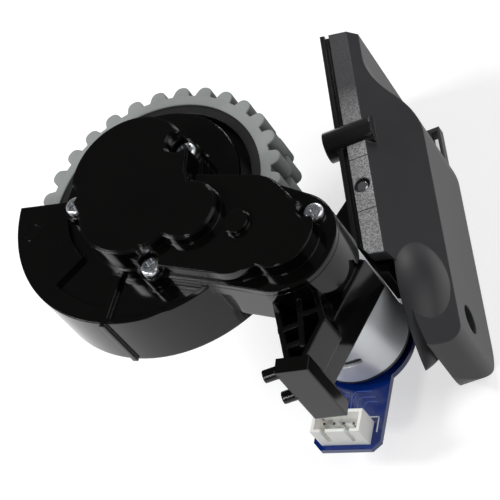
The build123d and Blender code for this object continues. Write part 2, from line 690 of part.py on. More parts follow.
# Cover of the gear case
NOTCH_R = SCREW_HEAD_R + 2 * CAM
CLOUD_SEAT = GEAR3_Z + GEAR_T + SIDE_GAP
ARM_SEAT = GEAR1_Z + GEAR_T + SIDE_GAP
with BuildPart() as gear_case_cover:
    with BuildSketch(Plane.XY.offset(SPLIT_Z)):
        chamber_shape()
        round_spots(SCREW_BOSS_R)
    extrude(amount=FLANGE_T)
    with BuildSketch(Plane.XY.offset(FLANGE_TOP)):
        arm_shape()
        round_spots(NOTCH_R, Mode.SUBTRACT)
        disc(DRUM_SCREW, NOTCH_R, Mode.SUBTRACT)
    extrude(amount=ARM_TOP - FLANGE_TOP)
    with BuildSketch(Plane.XY.offset(FLANGE_TOP)):
        cloud_shape()
        round_spots(NOTCH_R, Mode.SUBTRACT)
    extrude(amount=CLOUD_TOP - COVER_EDGE - FLANGE_TOP)
    with BuildSketch(Plane.XY.offset(CLOUD_TOP - COVER_EDGE)):
        cloud_shape(-COVER_EDGE)
        round_spots(NOTCH_R + COVER_EDGE, Mode.SUBTRACT)
    extrude(amount=COVER_EDGE)
    with BuildSketch(Plane.XY.offset(FLANGE_TOP)):
        round_spots(SCREW_BOSS_R)
    extrude(amount=EAR_TOP - FLANGE_TOP)
    with BuildSketch(Plane.XY.offset(ARM_TOP)):
        disc(SHAFT1, BOSS_R)
    extrude(amount=BOSS_H)
    with BuildSketch(Plane.XY.offset(SPLIT_Z)):
        cloud_shape(-COVER_WALL)
        round_spots(NOTCH_R + NOTCH_WALL, Mode.SUBTRACT)
    extrude(amount=CLOUD_SEAT - SPLIT_Z, mode=Mode.SUBTRACT)
    with BuildSketch(Plane.XY.offset(CLOUD_SEAT)):
        cloud_shape(-COVER_WALL)
        round_spots(NOTCH_R + NOTCH_WALL, Mode.SUBTRACT)
        disc(SHAFT2, SHAFT_SEAT_R, Mode.SUBTRACT)
        disc(SHAFT3, SHAFT_SEAT_R, Mode.SUBTRACT)
    extrude(amount=CLOUD_CEILING - CLOUD_SEAT, mode=Mode.SUBTRACT)
    with BuildSketch(Plane.XY.offset(SPLIT_Z)):
        arm_shape(-COVER_WALL)
        round_spots(NOTCH_R + NOTCH_WALL, Mode.SUBTRACT)
        disc(DRUM_SCREW, NOTCH_R + NOTCH_WALL, Mode.SUBTRACT)
    extrude(amount=ARM_SEAT - SPLIT_Z, mode=Mode.SUBTRACT)
    with BuildSketch(Plane.XY.offset(ARM_SEAT)):
        arm_shape(-COVER_WALL)
        round_spots(NOTCH_R + NOTCH_WALL, Mode.SUBTRACT)
        disc(DRUM_SCREW, NOTCH_R + NOTCH_WALL, Mode.SUBTRACT)
        disc(SHAFT1, SHAFT_SEAT_R, Mode.SUBTRACT)
    extrude(amount=ARM_CEILING - ARM_SEAT, mode=Mode.SUBTRACT)
    with BuildSketch(Plane.XY.offset(SPLIT_Z)):
        disc(SHAFT2, GEAR2_POCKET_R)
    extrude(amount=GEAR2_Z + GEAR_T + POCKET_GAP - SPLIT_Z, mode=Mode.SUBTRACT)
    with BuildSketch(Plane.XY.offset(GEAR1_Z + GEAR_T)):
        disc(SHAFT1, SHAFT_R)
    extrude(amount=ARM_CEILING + SHAFT_SINK - GEAR1_Z - GEAR_T, mode=Mode.SUBTRACT)
    with BuildSketch(Plane.XY.offset(GEAR3_Z + GEAR_T)):
        with Locations(SHAFT2, SHAFT3):
            Circle(SHAFT_R)
    extrude(amount=CLOUD_CEILING + SHAFT_SINK - GEAR3_Z - GEAR_T, mode=Mode.SUBTRACT)
    with BuildSketch(Plane.XY.offset(SPLIT_Z)):
        round_spots(SCREW_HOLE_R)
        disc(DRUM_SCREW, SCREW_HOLE_R)
    extrude(amount=EAR_TOP - SPLIT_Z, mode=Mode.SUBTRACT)
gear_case_cover.part.label = "gear_case_cover"
export_step(gear_case_cover.part, "parts/gear_case_cover.step")

with BuildPart() as cover_screws:
    for screw_place, seat_z in [(spot, EAR_TOP) for spot in SCREW_PLACES] + [(DRUM_SCREW, FLANGE_TOP)]:
        with BuildSketch(Plane.XY.offset(CASE_FLOOR + SCREW_SKIN)):
            disc(screw_place, SCREW_CORE_R)
        extrude(amount=seat_z - CASE_FLOOR - SCREW_SKIN)
        with BuildSketch(Plane.XY.offset(seat_z)):
            disc(screw_place, SCREW_HEAD_R)
        extrude(amount=SCREW_HEAD_H)
        with BuildSketch(Plane.XY.offset(seat_z + SCREW_HEAD_H - SCREW_RECESS)):
            with Locations(screw_place):
                Rectangle(SCREW_HEAD_R * 1.2, SCREW_RECESS)
                Rectangle(SCREW_RECESS, SCREW_HEAD_R * 1.2)
        extrude(amount=SCREW_RECESS, mode=Mode.SUBTRACT)
cover_screws.part.label = "cover_screws"
export_step(cover_screws.part, "parts/cover_screws.step")

# Motor
CAN_IN = MOTOR_R - CAN_T
FLAT_IN = FLAT_OFF - CAN_T
BOSS_TOP = PLATE_T + BOSS_OVER
with BuildPart() as motor_can:
    with BuildSketch(Plane.XY.offset(-MOTOR_LEN)):
        motor_shape(MOTOR_R, FLAT_OFF)
    extrude(amount=MOTOR_LEN)
    with BuildSketch():
        disc(MOTOR, MOTOR_BOSS_R)
    extrude(amount=BOSS_TOP)
    with BuildSketch(Plane.XY.offset(-MOTOR_LEN)):
        motor_shape(CAN_IN, FLAT_IN)
    extrude(amount=MOTOR_LEN - CAN_T, mode=Mode.SUBTRACT)
    with BuildSketch(Plane.XY.offset(-CAN_T)):
        disc(MOTOR, BUSH_OUT_R)
        with turned(MOTOR, MOTOR_SCREW_TURN):
            with Locations((MOTOR_SCREW_R, 0), (-MOTOR_SCREW_R, 0)):
                Circle(MOTOR_SCREW_CORE)
    extrude(amount=CAN_T + BOSS_TOP, mode=Mode.SUBTRACT)
    with BuildSketch(Plane(MOTOR + (VENT_Z,), x_dir=(0, 0, 1), z_dir=step_from((0, 0), 1, VENT_ANGLE) + (0,))):
        SlotOverall(VENT_L, VENT_W, rotation=90)
    extrude(amount=MOTOR_R * 2, mode=Mode.SUBTRACT)
motor_can.part.label = "motor_can"
export_step(motor_can.part, "parts/motor_can.step")

with BuildPart() as motor_end_cap:
    with BuildSketch(Plane.XY.offset(CAP_FAR)):
        motor_shape(MOTOR_R, FLAT_OFF)
    extrude(amount=CAP_RIM_T)
    with BuildSketch(Plane.XY.offset(-MOTOR_LEN)):
        motor_shape(CAN_IN, FLAT_IN)
    extrude(amount=CAP_T)
    with BuildSketch(Plane.XY.offset(CAP_FAR)):
        disc(MOTOR, BUSH_OUT_R)
        with turned(MOTOR, WHEEL_SIDE):
            with Locations((0, TERMINAL_OUT), (0, -TERMINAL_OUT)):
                Rectangle(TERMINAL_W, TERMINAL_T)
    extrude(amount=CAP_T + CAP_RIM_T, mode=Mode.SUBTRACT)
motor_end_cap.part.label = "motor_end_cap"
export_step(motor_end_cap.part, "parts/motor_end_cap.step")

with BuildPart() as motor_front_bush:
    with BuildSketch(Plane.XY.offset(-CAN_T)):
        disc(MOTOR, BUSH_OUT_R)
        disc(MOTOR, SHAFT_R + RUN_GAP, Mode.SUBTRACT)
    extrude(amount=CAN_T + BOSS_TOP)
motor_front_bush.part.label = "motor_front_bush"
export_step(motor_front_bush.part, "parts/motor_front_bush.step")

with BuildPart() as motor_rear_bush:
    with BuildSketch(Plane.XY.offset(CAP_FAR)):
        disc(MOTOR, BUSH_OUT_R)
        disc(MOTOR, SHAFT_R + RUN_GAP, Mode.SUBTRACT)
    extrude(amount=CAP_T + CAP_RIM_T)
motor_rear_bush.part.label = "motor_rear_bush"
export_step(motor_rear_bush.part, "parts/motor_rear_bush.step")

with BuildPart() as motor_magnets:
    with BuildSketch(Plane.XY.offset(ROTOR_Z - MAGNET_LEN / 2)):
        for magnet_side in (WHEEL_SIDE + 90, WHEEL_SIDE - 90):
            sector(CAN_IN - MAGNET_T, CAN_IN, magnet_side - MAGNET_ARC / 2, magnet_side + MAGNET_ARC / 2, MOTOR)
    extrude(amount=MAGNET_LEN)
motor_magnets.part.label = "motor_magnets"
export_step(motor_magnets.part, "parts/motor_magnets.step")

COMM_TOP = ROTOR_Z - ROTOR_LEN / 2 - COIL_END - SIDE_GAP
COMM_LOW = COMM_TOP - COMM_LEN
BRUSH_FROM = COMM_R + SIDE_GAP
with BuildPart() as motor_brushes:
    with BuildSketch(Plane.XY.offset(COMM_LOW)):
        with turned(MOTOR, WHEEL_SIDE):
            with Locations((0, BRUSH_FROM)):
                Rectangle(BRUSH_T, TERMINAL_OUT - BRUSH_FROM, align=(Align.CENTER, Align.MIN))
            with Locations((0, -BRUSH_FROM)):
                Rectangle(BRUSH_T, TERMINAL_OUT - BRUSH_FROM, align=(Align.CENTER, Align.MAX))
    extrude(amount=COMM_LEN)
    with BuildSketch(Plane.XY.offset(BOARD_FAR)):
        with turned(MOTOR, WHEEL_SIDE):
            with Locations((0, TERMINAL_OUT), (0, -TERMINAL_OUT)):
                Rectangle(TERMINAL_W, TERMINAL_T)
    extrude(amount=COMM_TOP - BOARD_FAR)
motor_brushes.part.label = "motor_brushes"
export_step(motor_brushes.part, "parts/motor_brushes.step")

with BuildPart() as motor_screws:
    for screw_side in (MOTOR_SCREW_R, -MOTOR_SCREW_R):
        spot = step_from(MOTOR, screw_side, MOTOR_SCREW_TURN)
        with BuildSketch(Plane.XY.offset(-CAN_T)):
            disc(spot, MOTOR_SCREW_CORE)
        extrude(amount=CAN_T + PLATE_T)
        with BuildSketch(Plane.XY.offset(PLATE_T)):
            disc(spot, MOTOR_SCREW_HEAD)
        extrude(amount=SCREW_HEAD_H)
        with BuildSketch(Plane.XY.offset(PLATE_T + SCREW_HEAD_H - SCREW_RECESS)):
            with Locations(spot):
                Rectangle(MOTOR_SCREW_HEAD, SCREW_RECESS)
                Rectangle(SCREW_RECESS, MOTOR_SCREW_HEAD)
        extrude(amount=SCREW_RECESS, mode=Mode.SUBTRACT)
motor_screws.part.label = "motor_screws"
export_step(motor_screws.part, "parts/motor_screws.step")

# Rotor
ENCODER_LOW = CAP_FAR - BOARD_GAP - ENCODER_T
with BuildPart() as motor_shaft:
    with BuildSketch(Plane.XY.offset(ENCODER_LOW)):
        disc(MOTOR, SHAFT_R)
    extrude(amount=GEAR1_Z + GEAR_T + SIDE_GAP - ENCODER_LOW)
motor_shaft.part.label = "motor_shaft"
export_step(motor_shaft.part, "parts/motor_shaft.step")

with BuildPart() as motor_pinion:
    with BuildSketch(Plane.XY.offset(GEAR1_Z - SIDE_GAP)):
        with Locations(MOTOR):
            Polygon(*gear_points(MOD_MOTOR, PINION_TEETH, PINION_PHASE), align=None)
        disc(MOTOR, SHAFT_R, Mode.SUBTRACT)
    extrude(amount=GEAR_T + 2 * SIDE_GAP)
motor_pinion.part.label = "motor_pinion"
export_step(motor_pinion.part, "parts/motor_pinion.step")

CORE_LOW = ROTOR_Z - ROTOR_LEN / 2
with BuildPart() as rotor_core:
    with BuildSketch(Plane.XY.offset(CORE_LOW)):
        disc(MOTOR, ROTOR_R)
        disc(MOTOR, SHAFT_R, Mode.SUBTRACT)
        with Locations(MOTOR):
            with PolarLocations(SLOT_PCD_R, SLOT_COUNT):
                Circle(SLOT_R, mode=Mode.SUBTRACT)
                Rectangle(ROTOR_R, SLOT_R / 2, align=(Align.MIN, Align.CENTER), mode=Mode.SUBTRACT)
    extrude(amount=ROTOR_LEN)
rotor_core.part.label = "rotor_core"
export_step(rotor_core.part, "parts/rotor_core.step")

with BuildPart() as rotor_windings:
    with BuildSketch(Plane.XY.offset(CORE_LOW)):
        with Locations(MOTOR):
            with PolarLocations(SLOT_PCD_R, SLOT_COUNT):
                Circle(SLOT_R)
    extrude(amount=ROTOR_LEN)
    for coil_low in (CORE_LOW - COIL_END, CORE_LOW + ROTOR_LEN):
        with BuildSketch(Plane.XY.offset(coil_low)):
            disc(MOTOR, COIL_R)
            disc(MOTOR, SHAFT_R * 2, Mode.SUBTRACT)
        extrude(amount=COIL_END)
rotor_windings.part.label = "rotor_windings"
export_step(rotor_windings.part, "parts/rotor_windings.step")

with BuildPart() as commutator:
    with BuildSketch(Plane.XY.offset(COMM_LOW)):
        disc(MOTOR, COMM_R)
        disc(MOTOR, SHAFT_R, Mode.SUBTRACT)
    extrude(amount=COMM_LEN)
commutator.part.label = "commutator"
export_step(commutator.part, "parts/commutator.step")

with BuildPart() as encoder_magnet:
    with BuildSketch(Plane.XY.offset(ENCODER_LOW)):
        disc(MOTOR, ENCODER_R)
        disc(MOTOR, SHAFT_R, Mode.SUBTRACT)
    extrude(amount=ENCODER_T)
encoder_magnet.part.label = "encoder_magnet"
export_step(encoder_magnet.part, "parts/encoder_magnet.step")

# Encoder board with its socket
SOCKET_AT = step_from(MOTOR, SOCKET_REACH, BOARD_ANGLE)
PIN_OFFSETS = [(index - (PIN_COUNT - 1) / 2) * PIN_PITCH for index in range(PIN_COUNT)]
with BuildPart() as encoder_board:
    with BuildSketch(Plane.XY.offset(BOARD_FAR)):
        disc(MOTOR, BOARD_DISC_R)
        with turned(MOTOR, BOARD_ANGLE):
            with Locations((BOARD_REACH / 2, 0)):
                Rectangle(BOARD_REACH, BOARD_W)
        chamfer(vertices().sort_by(Axis.Y)[:2], BOARD_EDGE)
        with turned(SOCKET_AT, BOARD_ANGLE + 90):
            with Locations(*[(pin_x, 0) for pin_x in PIN_OFFSETS]):
                Rectangle(PIN_W, PIN_W, mode=Mode.SUBTRACT)
        with turned(MOTOR, WHEEL_SIDE):
            with Locations((0, TERMINAL_OUT), (0, -TERMINAL_OUT)):
                Rectangle(TERMINAL_W, TERMINAL_T, mode=Mode.SUBTRACT)
    extrude(amount=BOARD_T)
encoder_board.part.label = "encoder_board"
export_step(encoder_board.part, "parts/encoder_board.step")

with BuildPart() as connector_housing:
    with BuildSketch(Plane.XY.offset(BOARD_NEAR)):
        with turned(SOCKET_AT, BOARD_ANGLE + 90):
            Rectangle(SOCKET_W, SOCKET_D)
    extrude(amount=SOCKET_H)
    with BuildSketch(Plane.XY.offset(BOARD_NEAR + SOCKET_FLOOR)):
        with turned(SOCKET_AT, BOARD_ANGLE + 90):
            Rectangle(SOCKET_W - 2 * SOCKET_WALL, SOCKET_D - 2 * SOCKET_WALL)
            with Locations((-SOCKET_W / 4, 0), (SOCKET_W / 4, 0)):
                Rectangle(SOCKET_SLOT, SOCKET_D / 2, align=(Align.CENTER, Align.MAX))
    extrude(amount=SOCKET_H - SOCKET_FLOOR, mode=Mode.SUBTRACT)
    with BuildSketch(Plane.XY.offset(BOARD_NEAR)):
        with turned(SOCKET_AT, BOARD_ANGLE + 90):
            with Locations(*[(pin_x, 0) for pin_x in PIN_OFFSETS]):
                Rectangle(PIN_W, PIN_W)
    extrude(amount=SOCKET_FLOOR, mode=Mode.SUBTRACT)
connector_housing.part.label = "connector_housing"
export_step(connector_housing.part, "parts/connector_housing.step")

with BuildPart() as connector_pins:
    with BuildSketch(Plane.XY.offset(BOARD_FAR - PIN_TAIL)):
        with turned(SOCKET_AT, BOARD_ANGLE + 90):
            with Locations(*[(pin_x, 0) for pin_x in PIN_OFFSETS]):
                Rectangle(PIN_W, PIN_W)
    extrude(amount=PIN_TAIL + BOARD_T + SOCKET_H - SOCKET_FLOOR)
connector_pins.part.label = "connector_pins"
export_step(connector_pins.part, "parts/connector_pins.step")

# Pivot bracket, a tray open towards the wheel
CURVE_MID = ((NECK_X + SKIN_X) / 2, (CURVE_TOP + CURVE_LOW) / 2)
RIM_CORNER = (NECK_X, RIM_TOP - RIM_DROP)
CAVITY_L = RIM_TOP - RIM_DROP - BR_FOOT[0][1] - 2 * BR_WALL
with BuildPart() as bracket_core:
    with BuildSketch(Plane.XY.offset(BR_FAR + BR_WALL)):
        with BuildLine():
            Polyline(*BR_FOOT, (SKIN_X, BR_BOTTOM), (SKIN_X, CURVE_LOW))
            TangentArc((SKIN_X, CURVE_LOW), CURVE_MID, tangent=(0, 1))
            TangentArc((NECK_X, CURVE_TOP), CURVE_MID, tangent=(0, -1))
            Polyline((NECK_X, CURVE_TOP), RIM_CORNER, (RIM_X, RIM_TOP), BR_FOOT[0])
        make_face()
        fillet(vertices().sort_by_distance((SKIN_X, BR_BOTTOM))[0], BR_CORNER_R)
        offset(amount=-BR_WALL, kind=Kind.INTERSECTION, mode=Mode.REPLACE)
        with Locations((RIM_X, BR_FOOT[0][1] + BR_WALL)):
            Rectangle(BR_WALL * 3, CAVITY_L, align=(Align.CENTER, Align.MIN))
    extrude(amount=BR_DEPTH - 2 * BR_WALL)
    with BuildSketch(Plane.XZ.offset(-RIM_TOP)):
        Polygon((STRIP_X - SLOPE_IN, BR_NEAR), (SKIN_X, BR_NEAR),
                (SKIN_X, BR_NEAR - SLOPE_DROP - SLOPE_IN), align=None)
    extrude(amount=RIM_TOP - BR_BOTTOM, mode=Mode.SUBTRACT)
    with BuildSketch(Plane.YZ.offset(RIM_X - BR_WALL)):
        with Locations((BR_BOTTOM + END_R, BR_FAR + END_R)):
            Rectangle(END_R, END_R, align=(Align.MAX, Align.MAX))
            Circle(END_R - BR_WALL, mode=Mode.SUBTRACT)
    extrude(amount=SKIN_X - RIM_X + BR_WALL, mode=Mode.SUBTRACT)

# Low dome on the slope of the bracket
SLOPE_ANGLE = degrees(atan2(SLOPE_DROP, SKIN_X - STRIP_X))
DOME_SINK = DOME_R - DOME_RISE
DOME_Z = BR_NEAR - (DOME_X - STRIP_X) * SLOPE_DROP / (SKIN_X - STRIP_X)
DOME_AXIS = (DOME_X - DOME_SINK * sin(radians(SLOPE_ANGLE)), DOME_Z - DOME_SINK * cos(radians(SLOPE_ANGLE)))
with BuildPart() as bracket_dome:
    with BuildSketch(Plane.XY.offset(DOME_AXIS[1])):
        with BuildLine():
            ThreePointArc((DOME_AXIS[0], DOME_Y - DOME_L / 2), (DOME_AXIS[0] + DOME_R, DOME_Y),
                          (DOME_AXIS[0], DOME_Y + DOME_L / 2))
            Line((DOME_AXIS[0], DOME_Y + DOME_L / 2), (DOME_AXIS[0], DOME_Y - DOME_L / 2))
        make_face()
    revolve(axis=Axis((DOME_AXIS[0], 0, DOME_AXIS[1]), (0, 1, 0)))
    with BuildSketch(Plane.XZ.offset(-DOME_Y - DOME_L / 2)):
        with Locations((DOME_AXIS[0] + DOME_R, DOME_AXIS[1])):
            Rectangle(DOME_R * 2, DOME_R * 3)
    extrude(amount=DOME_L, mode=Mode.INTERSECT)

with BuildPart() as bracket_cover:
    with BuildSketch(Plane.XY.offset(BR_FAR)):
        with BuildLine():
            Polyline(*BR_FOOT, (SKIN_X, BR_BOTTOM), (SKIN_X, CURVE_LOW))
            TangentArc((SKIN_X, CURVE_LOW), CURVE_MID, tangent=(0, 1))
            TangentArc((NECK_X, CURVE_TOP), CURVE_MID, tangent=(0, -1))
            Polyline((NECK_X, CURVE_TOP), RIM_CORNER, (RIM_X, RIM_TOP), BR_FOOT[0])
        make_face()
        fillet(vertices().sort_by_distance((SKIN_X, BR_BOTTOM))[0], BR_CORNER_R)
    extrude(amount=BR_DEPTH)
    with BuildSketch(Plane.XZ.offset(-RIM_TOP)):
        Polygon((STRIP_X, BR_NEAR), (SKIN_X, BR_NEAR), (SKIN_X, BR_NEAR - SLOPE_DROP), align=None)
    extrude(amount=RIM_TOP - BR_BOTTOM, mode=Mode.SUBTRACT)
    add(bracket_dome.part)
    with BuildSketch(Plane.YZ.offset(RIM_X)):
        with Locations((BR_BOTTOM + END_R, BR_FAR + END_R)):
            Rectangle(END_R, END_R, align=(Align.MAX, Align.MAX))
            Circle(END_R, mode=Mode.SUBTRACT)
    extrude(amount=SKIN_X - RIM_X, mode=Mode.SUBTRACT)
    add(bracket_core.part, mode=Mode.SUBTRACT)
    with BuildSketch(Plane.XY.offset(LUG_FAR - LUG_PASS)):
        with Locations(PASS_CORNER):
            Rectangle(PASS_CORNER[0] - RIM_X + BR_WALL, PASS_L, align=(Align.MAX, Align.MIN))
    extrude(amount=NECK_FAR - LUG_FAR + 2 * LUG_PASS, mode=Mode.SUBTRACT)
    with BuildSketch(Plane.XZ.offset(-RIM_TOP)):
        with Locations((RIM_X + LIP_W + GROOVE_W / 2, BR_NEAR)):
            Rectangle(GROOVE_W, 2 * GROOVE_D)
    extrude(amount=RIM_TOP - BR_BOTTOM, mode=Mode.SUBTRACT)
    with BuildSketch(Plane.YZ.offset(RIM_X - POST_OUT)):
        with Locations((POST_Y, POST_Z)):
            Circle(POST_R)
    extrude(amount=POST_LEN)
    with BuildSketch(Plane.YZ.offset(RIM_X - POST_OUT)):
        with Locations((POST_Y, POST_Z)):
            Circle(POST_HOLE_R)
    extrude(amount=POST_HOLE_L, mode=Mode.SUBTRACT)
    with BuildSketch(Plane.YZ.offset(SEAT_POST_X)):
        with Locations((SEAT_Y, SEAT_Z)):
            Circle(SEAT_POST_R)
    extrude(amount=SKIN_X - SEAT_POST_X)
    with BuildSketch(Plane.YZ.offset(SEAT_POST_X)):
        with Locations((SEAT_Y, SEAT_Z)):
            Circle(SEAT_HOLE_R)
    extrude(amount=SKIN_X - SEAT_POST_X, mode=Mode.SUBTRACT)
    with BuildSketch(Plane.YZ.offset(SKIN_X - SEAT_DEPTH)):
        with Locations((SEAT_Y, SEAT_Z)):
            Circle(SEAT_R)
    extrude(amount=SEAT_DEPTH, mode=Mode.SUBTRACT)
    with BuildSketch(Plane.XY.offset(EAR_Z - EAR_T)):
        disc(PIVOT, EAR_HALF)
        with Locations(PIVOT):
            Rectangle(SKIN_X - BR_WALL / 2 - PIVOT[0], EAR_HALF * 2, align=(Align.MIN, Align.CENTER))
    extrude(amount=EAR_T)
    with BuildSketch(Plane.XY.offset(EAR_Z - EAR_T)):
        disc(PIVOT, PIVOT_R)
    extrude(amount=BR_NEAR - EAR_Z + EAR_T, mode=Mode.SUBTRACT)
    with BuildSketch(Plane.XY.offset(BR_NEAR - PIVOT_SINK_D)):
        disc(PIVOT, PIVOT_SINK_R)
    extrude(amount=PIVOT_SINK_D, mode=Mode.SUBTRACT)
    with BuildSketch(Plane.XY.offset(BR_FAR)):
        with Locations(((TAB_IN + TAB_OUT) / 2, TAB_Y)):
            Rectangle(TAB_OUT - TAB_IN, TAB_L)
    extrude(amount=TAB_T)
    with BuildSketch(Plane.XY.offset(BR_FAR)):
        with Locations((TAB_OUT - TAB_SLOT_W, TAB_Y + TAB_SLOT_W)):
            Rectangle(TAB_SLOT_W, TAB_SLOT_L)
    extrude(amount=TAB_T, mode=Mode.SUBTRACT)
bracket_cover.part.label = "bracket_cover"
export_step(bracket_cover.part, "parts/bracket_cover.step")

# Hinge pin and its clip
HINGE_CLIP_TOP = EAR_Z - EAR_T - SIDE_GAP
with BuildPart() as hinge_pin:
    with BuildSketch(Plane.XY.offset(HINGE_CLIP_TOP - CLIP_T - AXLE_TIP)):
        disc(PIVOT, PIVOT_R)
    extrude(amount=BR_NEAR - PIVOT_SINK_D / 2 - HINGE_CLIP_TOP + CLIP_T + AXLE_TIP)
    chamfer(hinge_pin.edges().filter_by(GeomType.CIRCLE), SIDE_GAP)
hinge_pin.part.label = "hinge_pin"
export_step(hinge_pin.part, "parts/hinge_pin.step")

with BuildPart() as hinge_clip:
    with BuildSketch(Plane.XY.offset(HINGE_CLIP_TOP - CLIP_T)):
        disc(PIVOT, CLIP_R)
        disc(PIVOT, PIVOT_R, Mode.SUBTRACT)
        with Locations(PIVOT):
            Rectangle(CLIP_R * 2, CLIP_GAP, align=(Align.MIN, Align.CENTER), mode=Mode.SUBTRACT)
    extrude(amount=CLIP_T)
hinge_clip.part.label = "hinge_clip"
export_step(hinge_clip.part, "parts/hinge_clip.step")
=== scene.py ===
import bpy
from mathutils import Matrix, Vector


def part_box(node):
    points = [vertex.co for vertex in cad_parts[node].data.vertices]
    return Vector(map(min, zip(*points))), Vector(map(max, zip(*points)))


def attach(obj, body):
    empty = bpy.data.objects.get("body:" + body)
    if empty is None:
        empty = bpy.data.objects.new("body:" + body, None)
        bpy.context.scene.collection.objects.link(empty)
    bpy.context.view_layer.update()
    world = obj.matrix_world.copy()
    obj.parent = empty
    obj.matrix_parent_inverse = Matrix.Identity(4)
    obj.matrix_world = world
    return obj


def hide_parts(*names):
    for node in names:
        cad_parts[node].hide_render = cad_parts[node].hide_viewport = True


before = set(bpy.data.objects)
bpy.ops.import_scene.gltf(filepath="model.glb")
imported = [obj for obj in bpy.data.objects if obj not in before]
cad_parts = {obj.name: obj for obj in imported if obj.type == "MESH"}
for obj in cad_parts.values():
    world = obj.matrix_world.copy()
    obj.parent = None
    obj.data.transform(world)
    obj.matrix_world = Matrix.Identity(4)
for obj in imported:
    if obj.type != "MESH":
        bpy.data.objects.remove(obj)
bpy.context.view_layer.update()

import math

import bmesh
import bpy
from mathutils import Matrix, Vector

bl_info = {
    "name": "Wheel Module Dresser",
    "version": (1, 1, 0),
    "blender": (4, 5, 0),
    "location": "3D Viewport > Sidebar > Wheel Module",
    "description": "Dresses a robot vacuum drive wheel module with detail, materials and a stage",
    "category": "Object",
}

MM = 0.001

# Lengths and places are in mm and angles in degrees, unless a comment says otherwise

# Bracket: where its lip, its pale strip with two seams and its screw post lie.
# Facing: how far a face turns outwards where the skin's painted light starts and where it is full;
# faces turned outwards are painted paler, as if lit from that side.
LIT_SKIN_FACING = (0.72, 0.97)
LIP_END = 43.4
STRIP_FACE = -10.9
STRIP_END = 48.1
STRIP_FADE = (28.0, 6.0)
STRIP_DIM = 0.05
STRIP_SEAMS = (5.2, -10.4)
SEAM_HALF = 0.13
POST_Y = 13.0
POST_Z = -12.6
POST_REACH = 3.95
POST_END = 50.6

# Tyre: its bore and lugs, and how a lug is sunk, set apart and shaped
TYRE_BORE_R = 27.4
BAND_STEPS = 180
LUG_H = 2.5
LUG_COUNT = 30
LUG_SUNK = 0.4
LUG_APART = 0.05
CROWN_DEPTH = 0.1
CROWN_STEPS = 4
LUG_ROUND_ANGLE = 50.0

# Painted shade between the tyre's lugs: how far under the crowns and within the sides it starts,
# and its shares
SHADE_UNDER = 0.5
SHADE_WITHIN = (0.12, 0.5)
SHADE_SHARES = (0.40, 0.95)

# Cover screws: x, y and seat height of each, then the head, its recess and the core
COVER_SCREWS = ((-17.0, 0.0, 14.4), (12.6, 3.6, 14.4), (1.0, -25.2, 14.4), (41.0, -25.6, 13.0))
SCREW_HEAD_R = 2.5
SCREW_HEAD_H = 1.6
SCREW_TOP_SHARE = 0.92
RECESS_LENGTH = 2.9
RECESS_TALL = 1.3
RECESS_LIFT = 1.35
SCREW_CORE_R = 1.0
SCREW_TIP_Z = 8.7
HEAD_SIDES = 40
CORE_SIDES = 24

# Board: the motor axis that it turns about, its face, and the lines on it as run and side
MOTOR = (32.69, -29.57)
BOARD_TURN = -108.0
BOARD_FACE = -33.6
LINE_LIFT = 0.02
LINE_THICK = 0.04
SOCKET_OUTLINE = (
    ((20.2, -5.6), (20.2, 7.2)),
    ((20.2, 7.2), (24.0, 7.2)),
    ((20.2, -5.6), (21.2, -6.6)),
)
TRACE_PATHS = ((-2.6, 14.2, -6.0), (-0.6, 13.4, 4.2), (1.2, 15.0, 5.4), (2.8, 16.2, 6.0))
TRACE_START = 20.0
TRACE_CORNER = 0.8

# Wheel guard: its face and the middle of the ejector mark on it
GUARD_FACE = 10.8
MOULD_MARKS = ((-31.1, 0.9),)
MARK_STEPS = 48
MARK_RING_STEPS = 8

# Meshes: how far a normal has to point one way, and where shading stays sharp
FACING = 0.9
MERGE_M = 1e-6
ROUND_ANGLE = 35.0
SMOOTH_ANGLE = 40.0

# Floor and camera, with the camera's place in metres
FLOOR_Z = -45.2
FLOOR_SIZE_M = 6.0
CAMERA_PLACE = (0.1629, -0.31271, 0.36896)
CAMERA_TURN = Matrix((
    (0.8985, 0.3291, 0.2906),
    (-0.0986, 0.7962, -0.5969),
    (-0.4278, 0.5076, 0.7478),
))
CAMERA_LENS = 153.74
CAMERA_SENSOR = 36.0
CAMERA_CLIP_M = 0.01

# Lights: name, place and size in metres, and share of the key light's power
LIGHTS = (
    ("Key Light", (-0.42, 0.02, 0.42), 0.18, 1.0),
    ("Fill Light", (0.50, -0.10, 0.40), 0.50, 0.8),
    ("Top Light", (0.12, 0.52, 0.30), 0.14, 0.5),
    ("Front Light", (-0.20, -0.46, 0.38), 0.10, 0.5),
)

# Speckle of the strip: grain values where it starts and is full, and its shares there
SPECKLE_GRAIN = (0.40, 0.60)
SPECKLE_SHARES = (0.35, 1.0)

# Tones laid over a finish, as colour and roughness
SKIN_ROUGH = 0.58
SPARKLE_TONE = ((0.54, 0.54, 0.54), 0.5)
SEAM_TONE = ((0.01, 0.01, 0.01), 0.7)
SMOOTH_TONE = ((0.009, 0.009, 0.010), 0.24)
# Painted shade for the tyre's valleys, as colour and roughness
VALLEY_SHADE_TONE = ((0.045, 0.048, 0.047), 0.9)
FLOOR_GLOW = 0.58


def node_span(node_name):
    """Size of a node's box in mm."""
    low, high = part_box(node_name)
    return [(high[i] - low[i]) / MM for i in range(3)]


WHEEL_R = node_span("tyre")[0] / 2
TYRE_HALF = node_span("tyre")[2] / 2
TYRE_BASE_R = WHEEL_R - LUG_H


def coat(obj, material):
    """Gives an object this one material."""
    obj.data.materials.clear()
    obj.data.materials.append(material)


def tone(colour):
    """A colour as it stands, or the one that the settings hold under this name."""
    if isinstance(colour, str):
        colour = getattr(bpy.context.scene.wheel_module_colours, colour)
    return (*colour, 1)


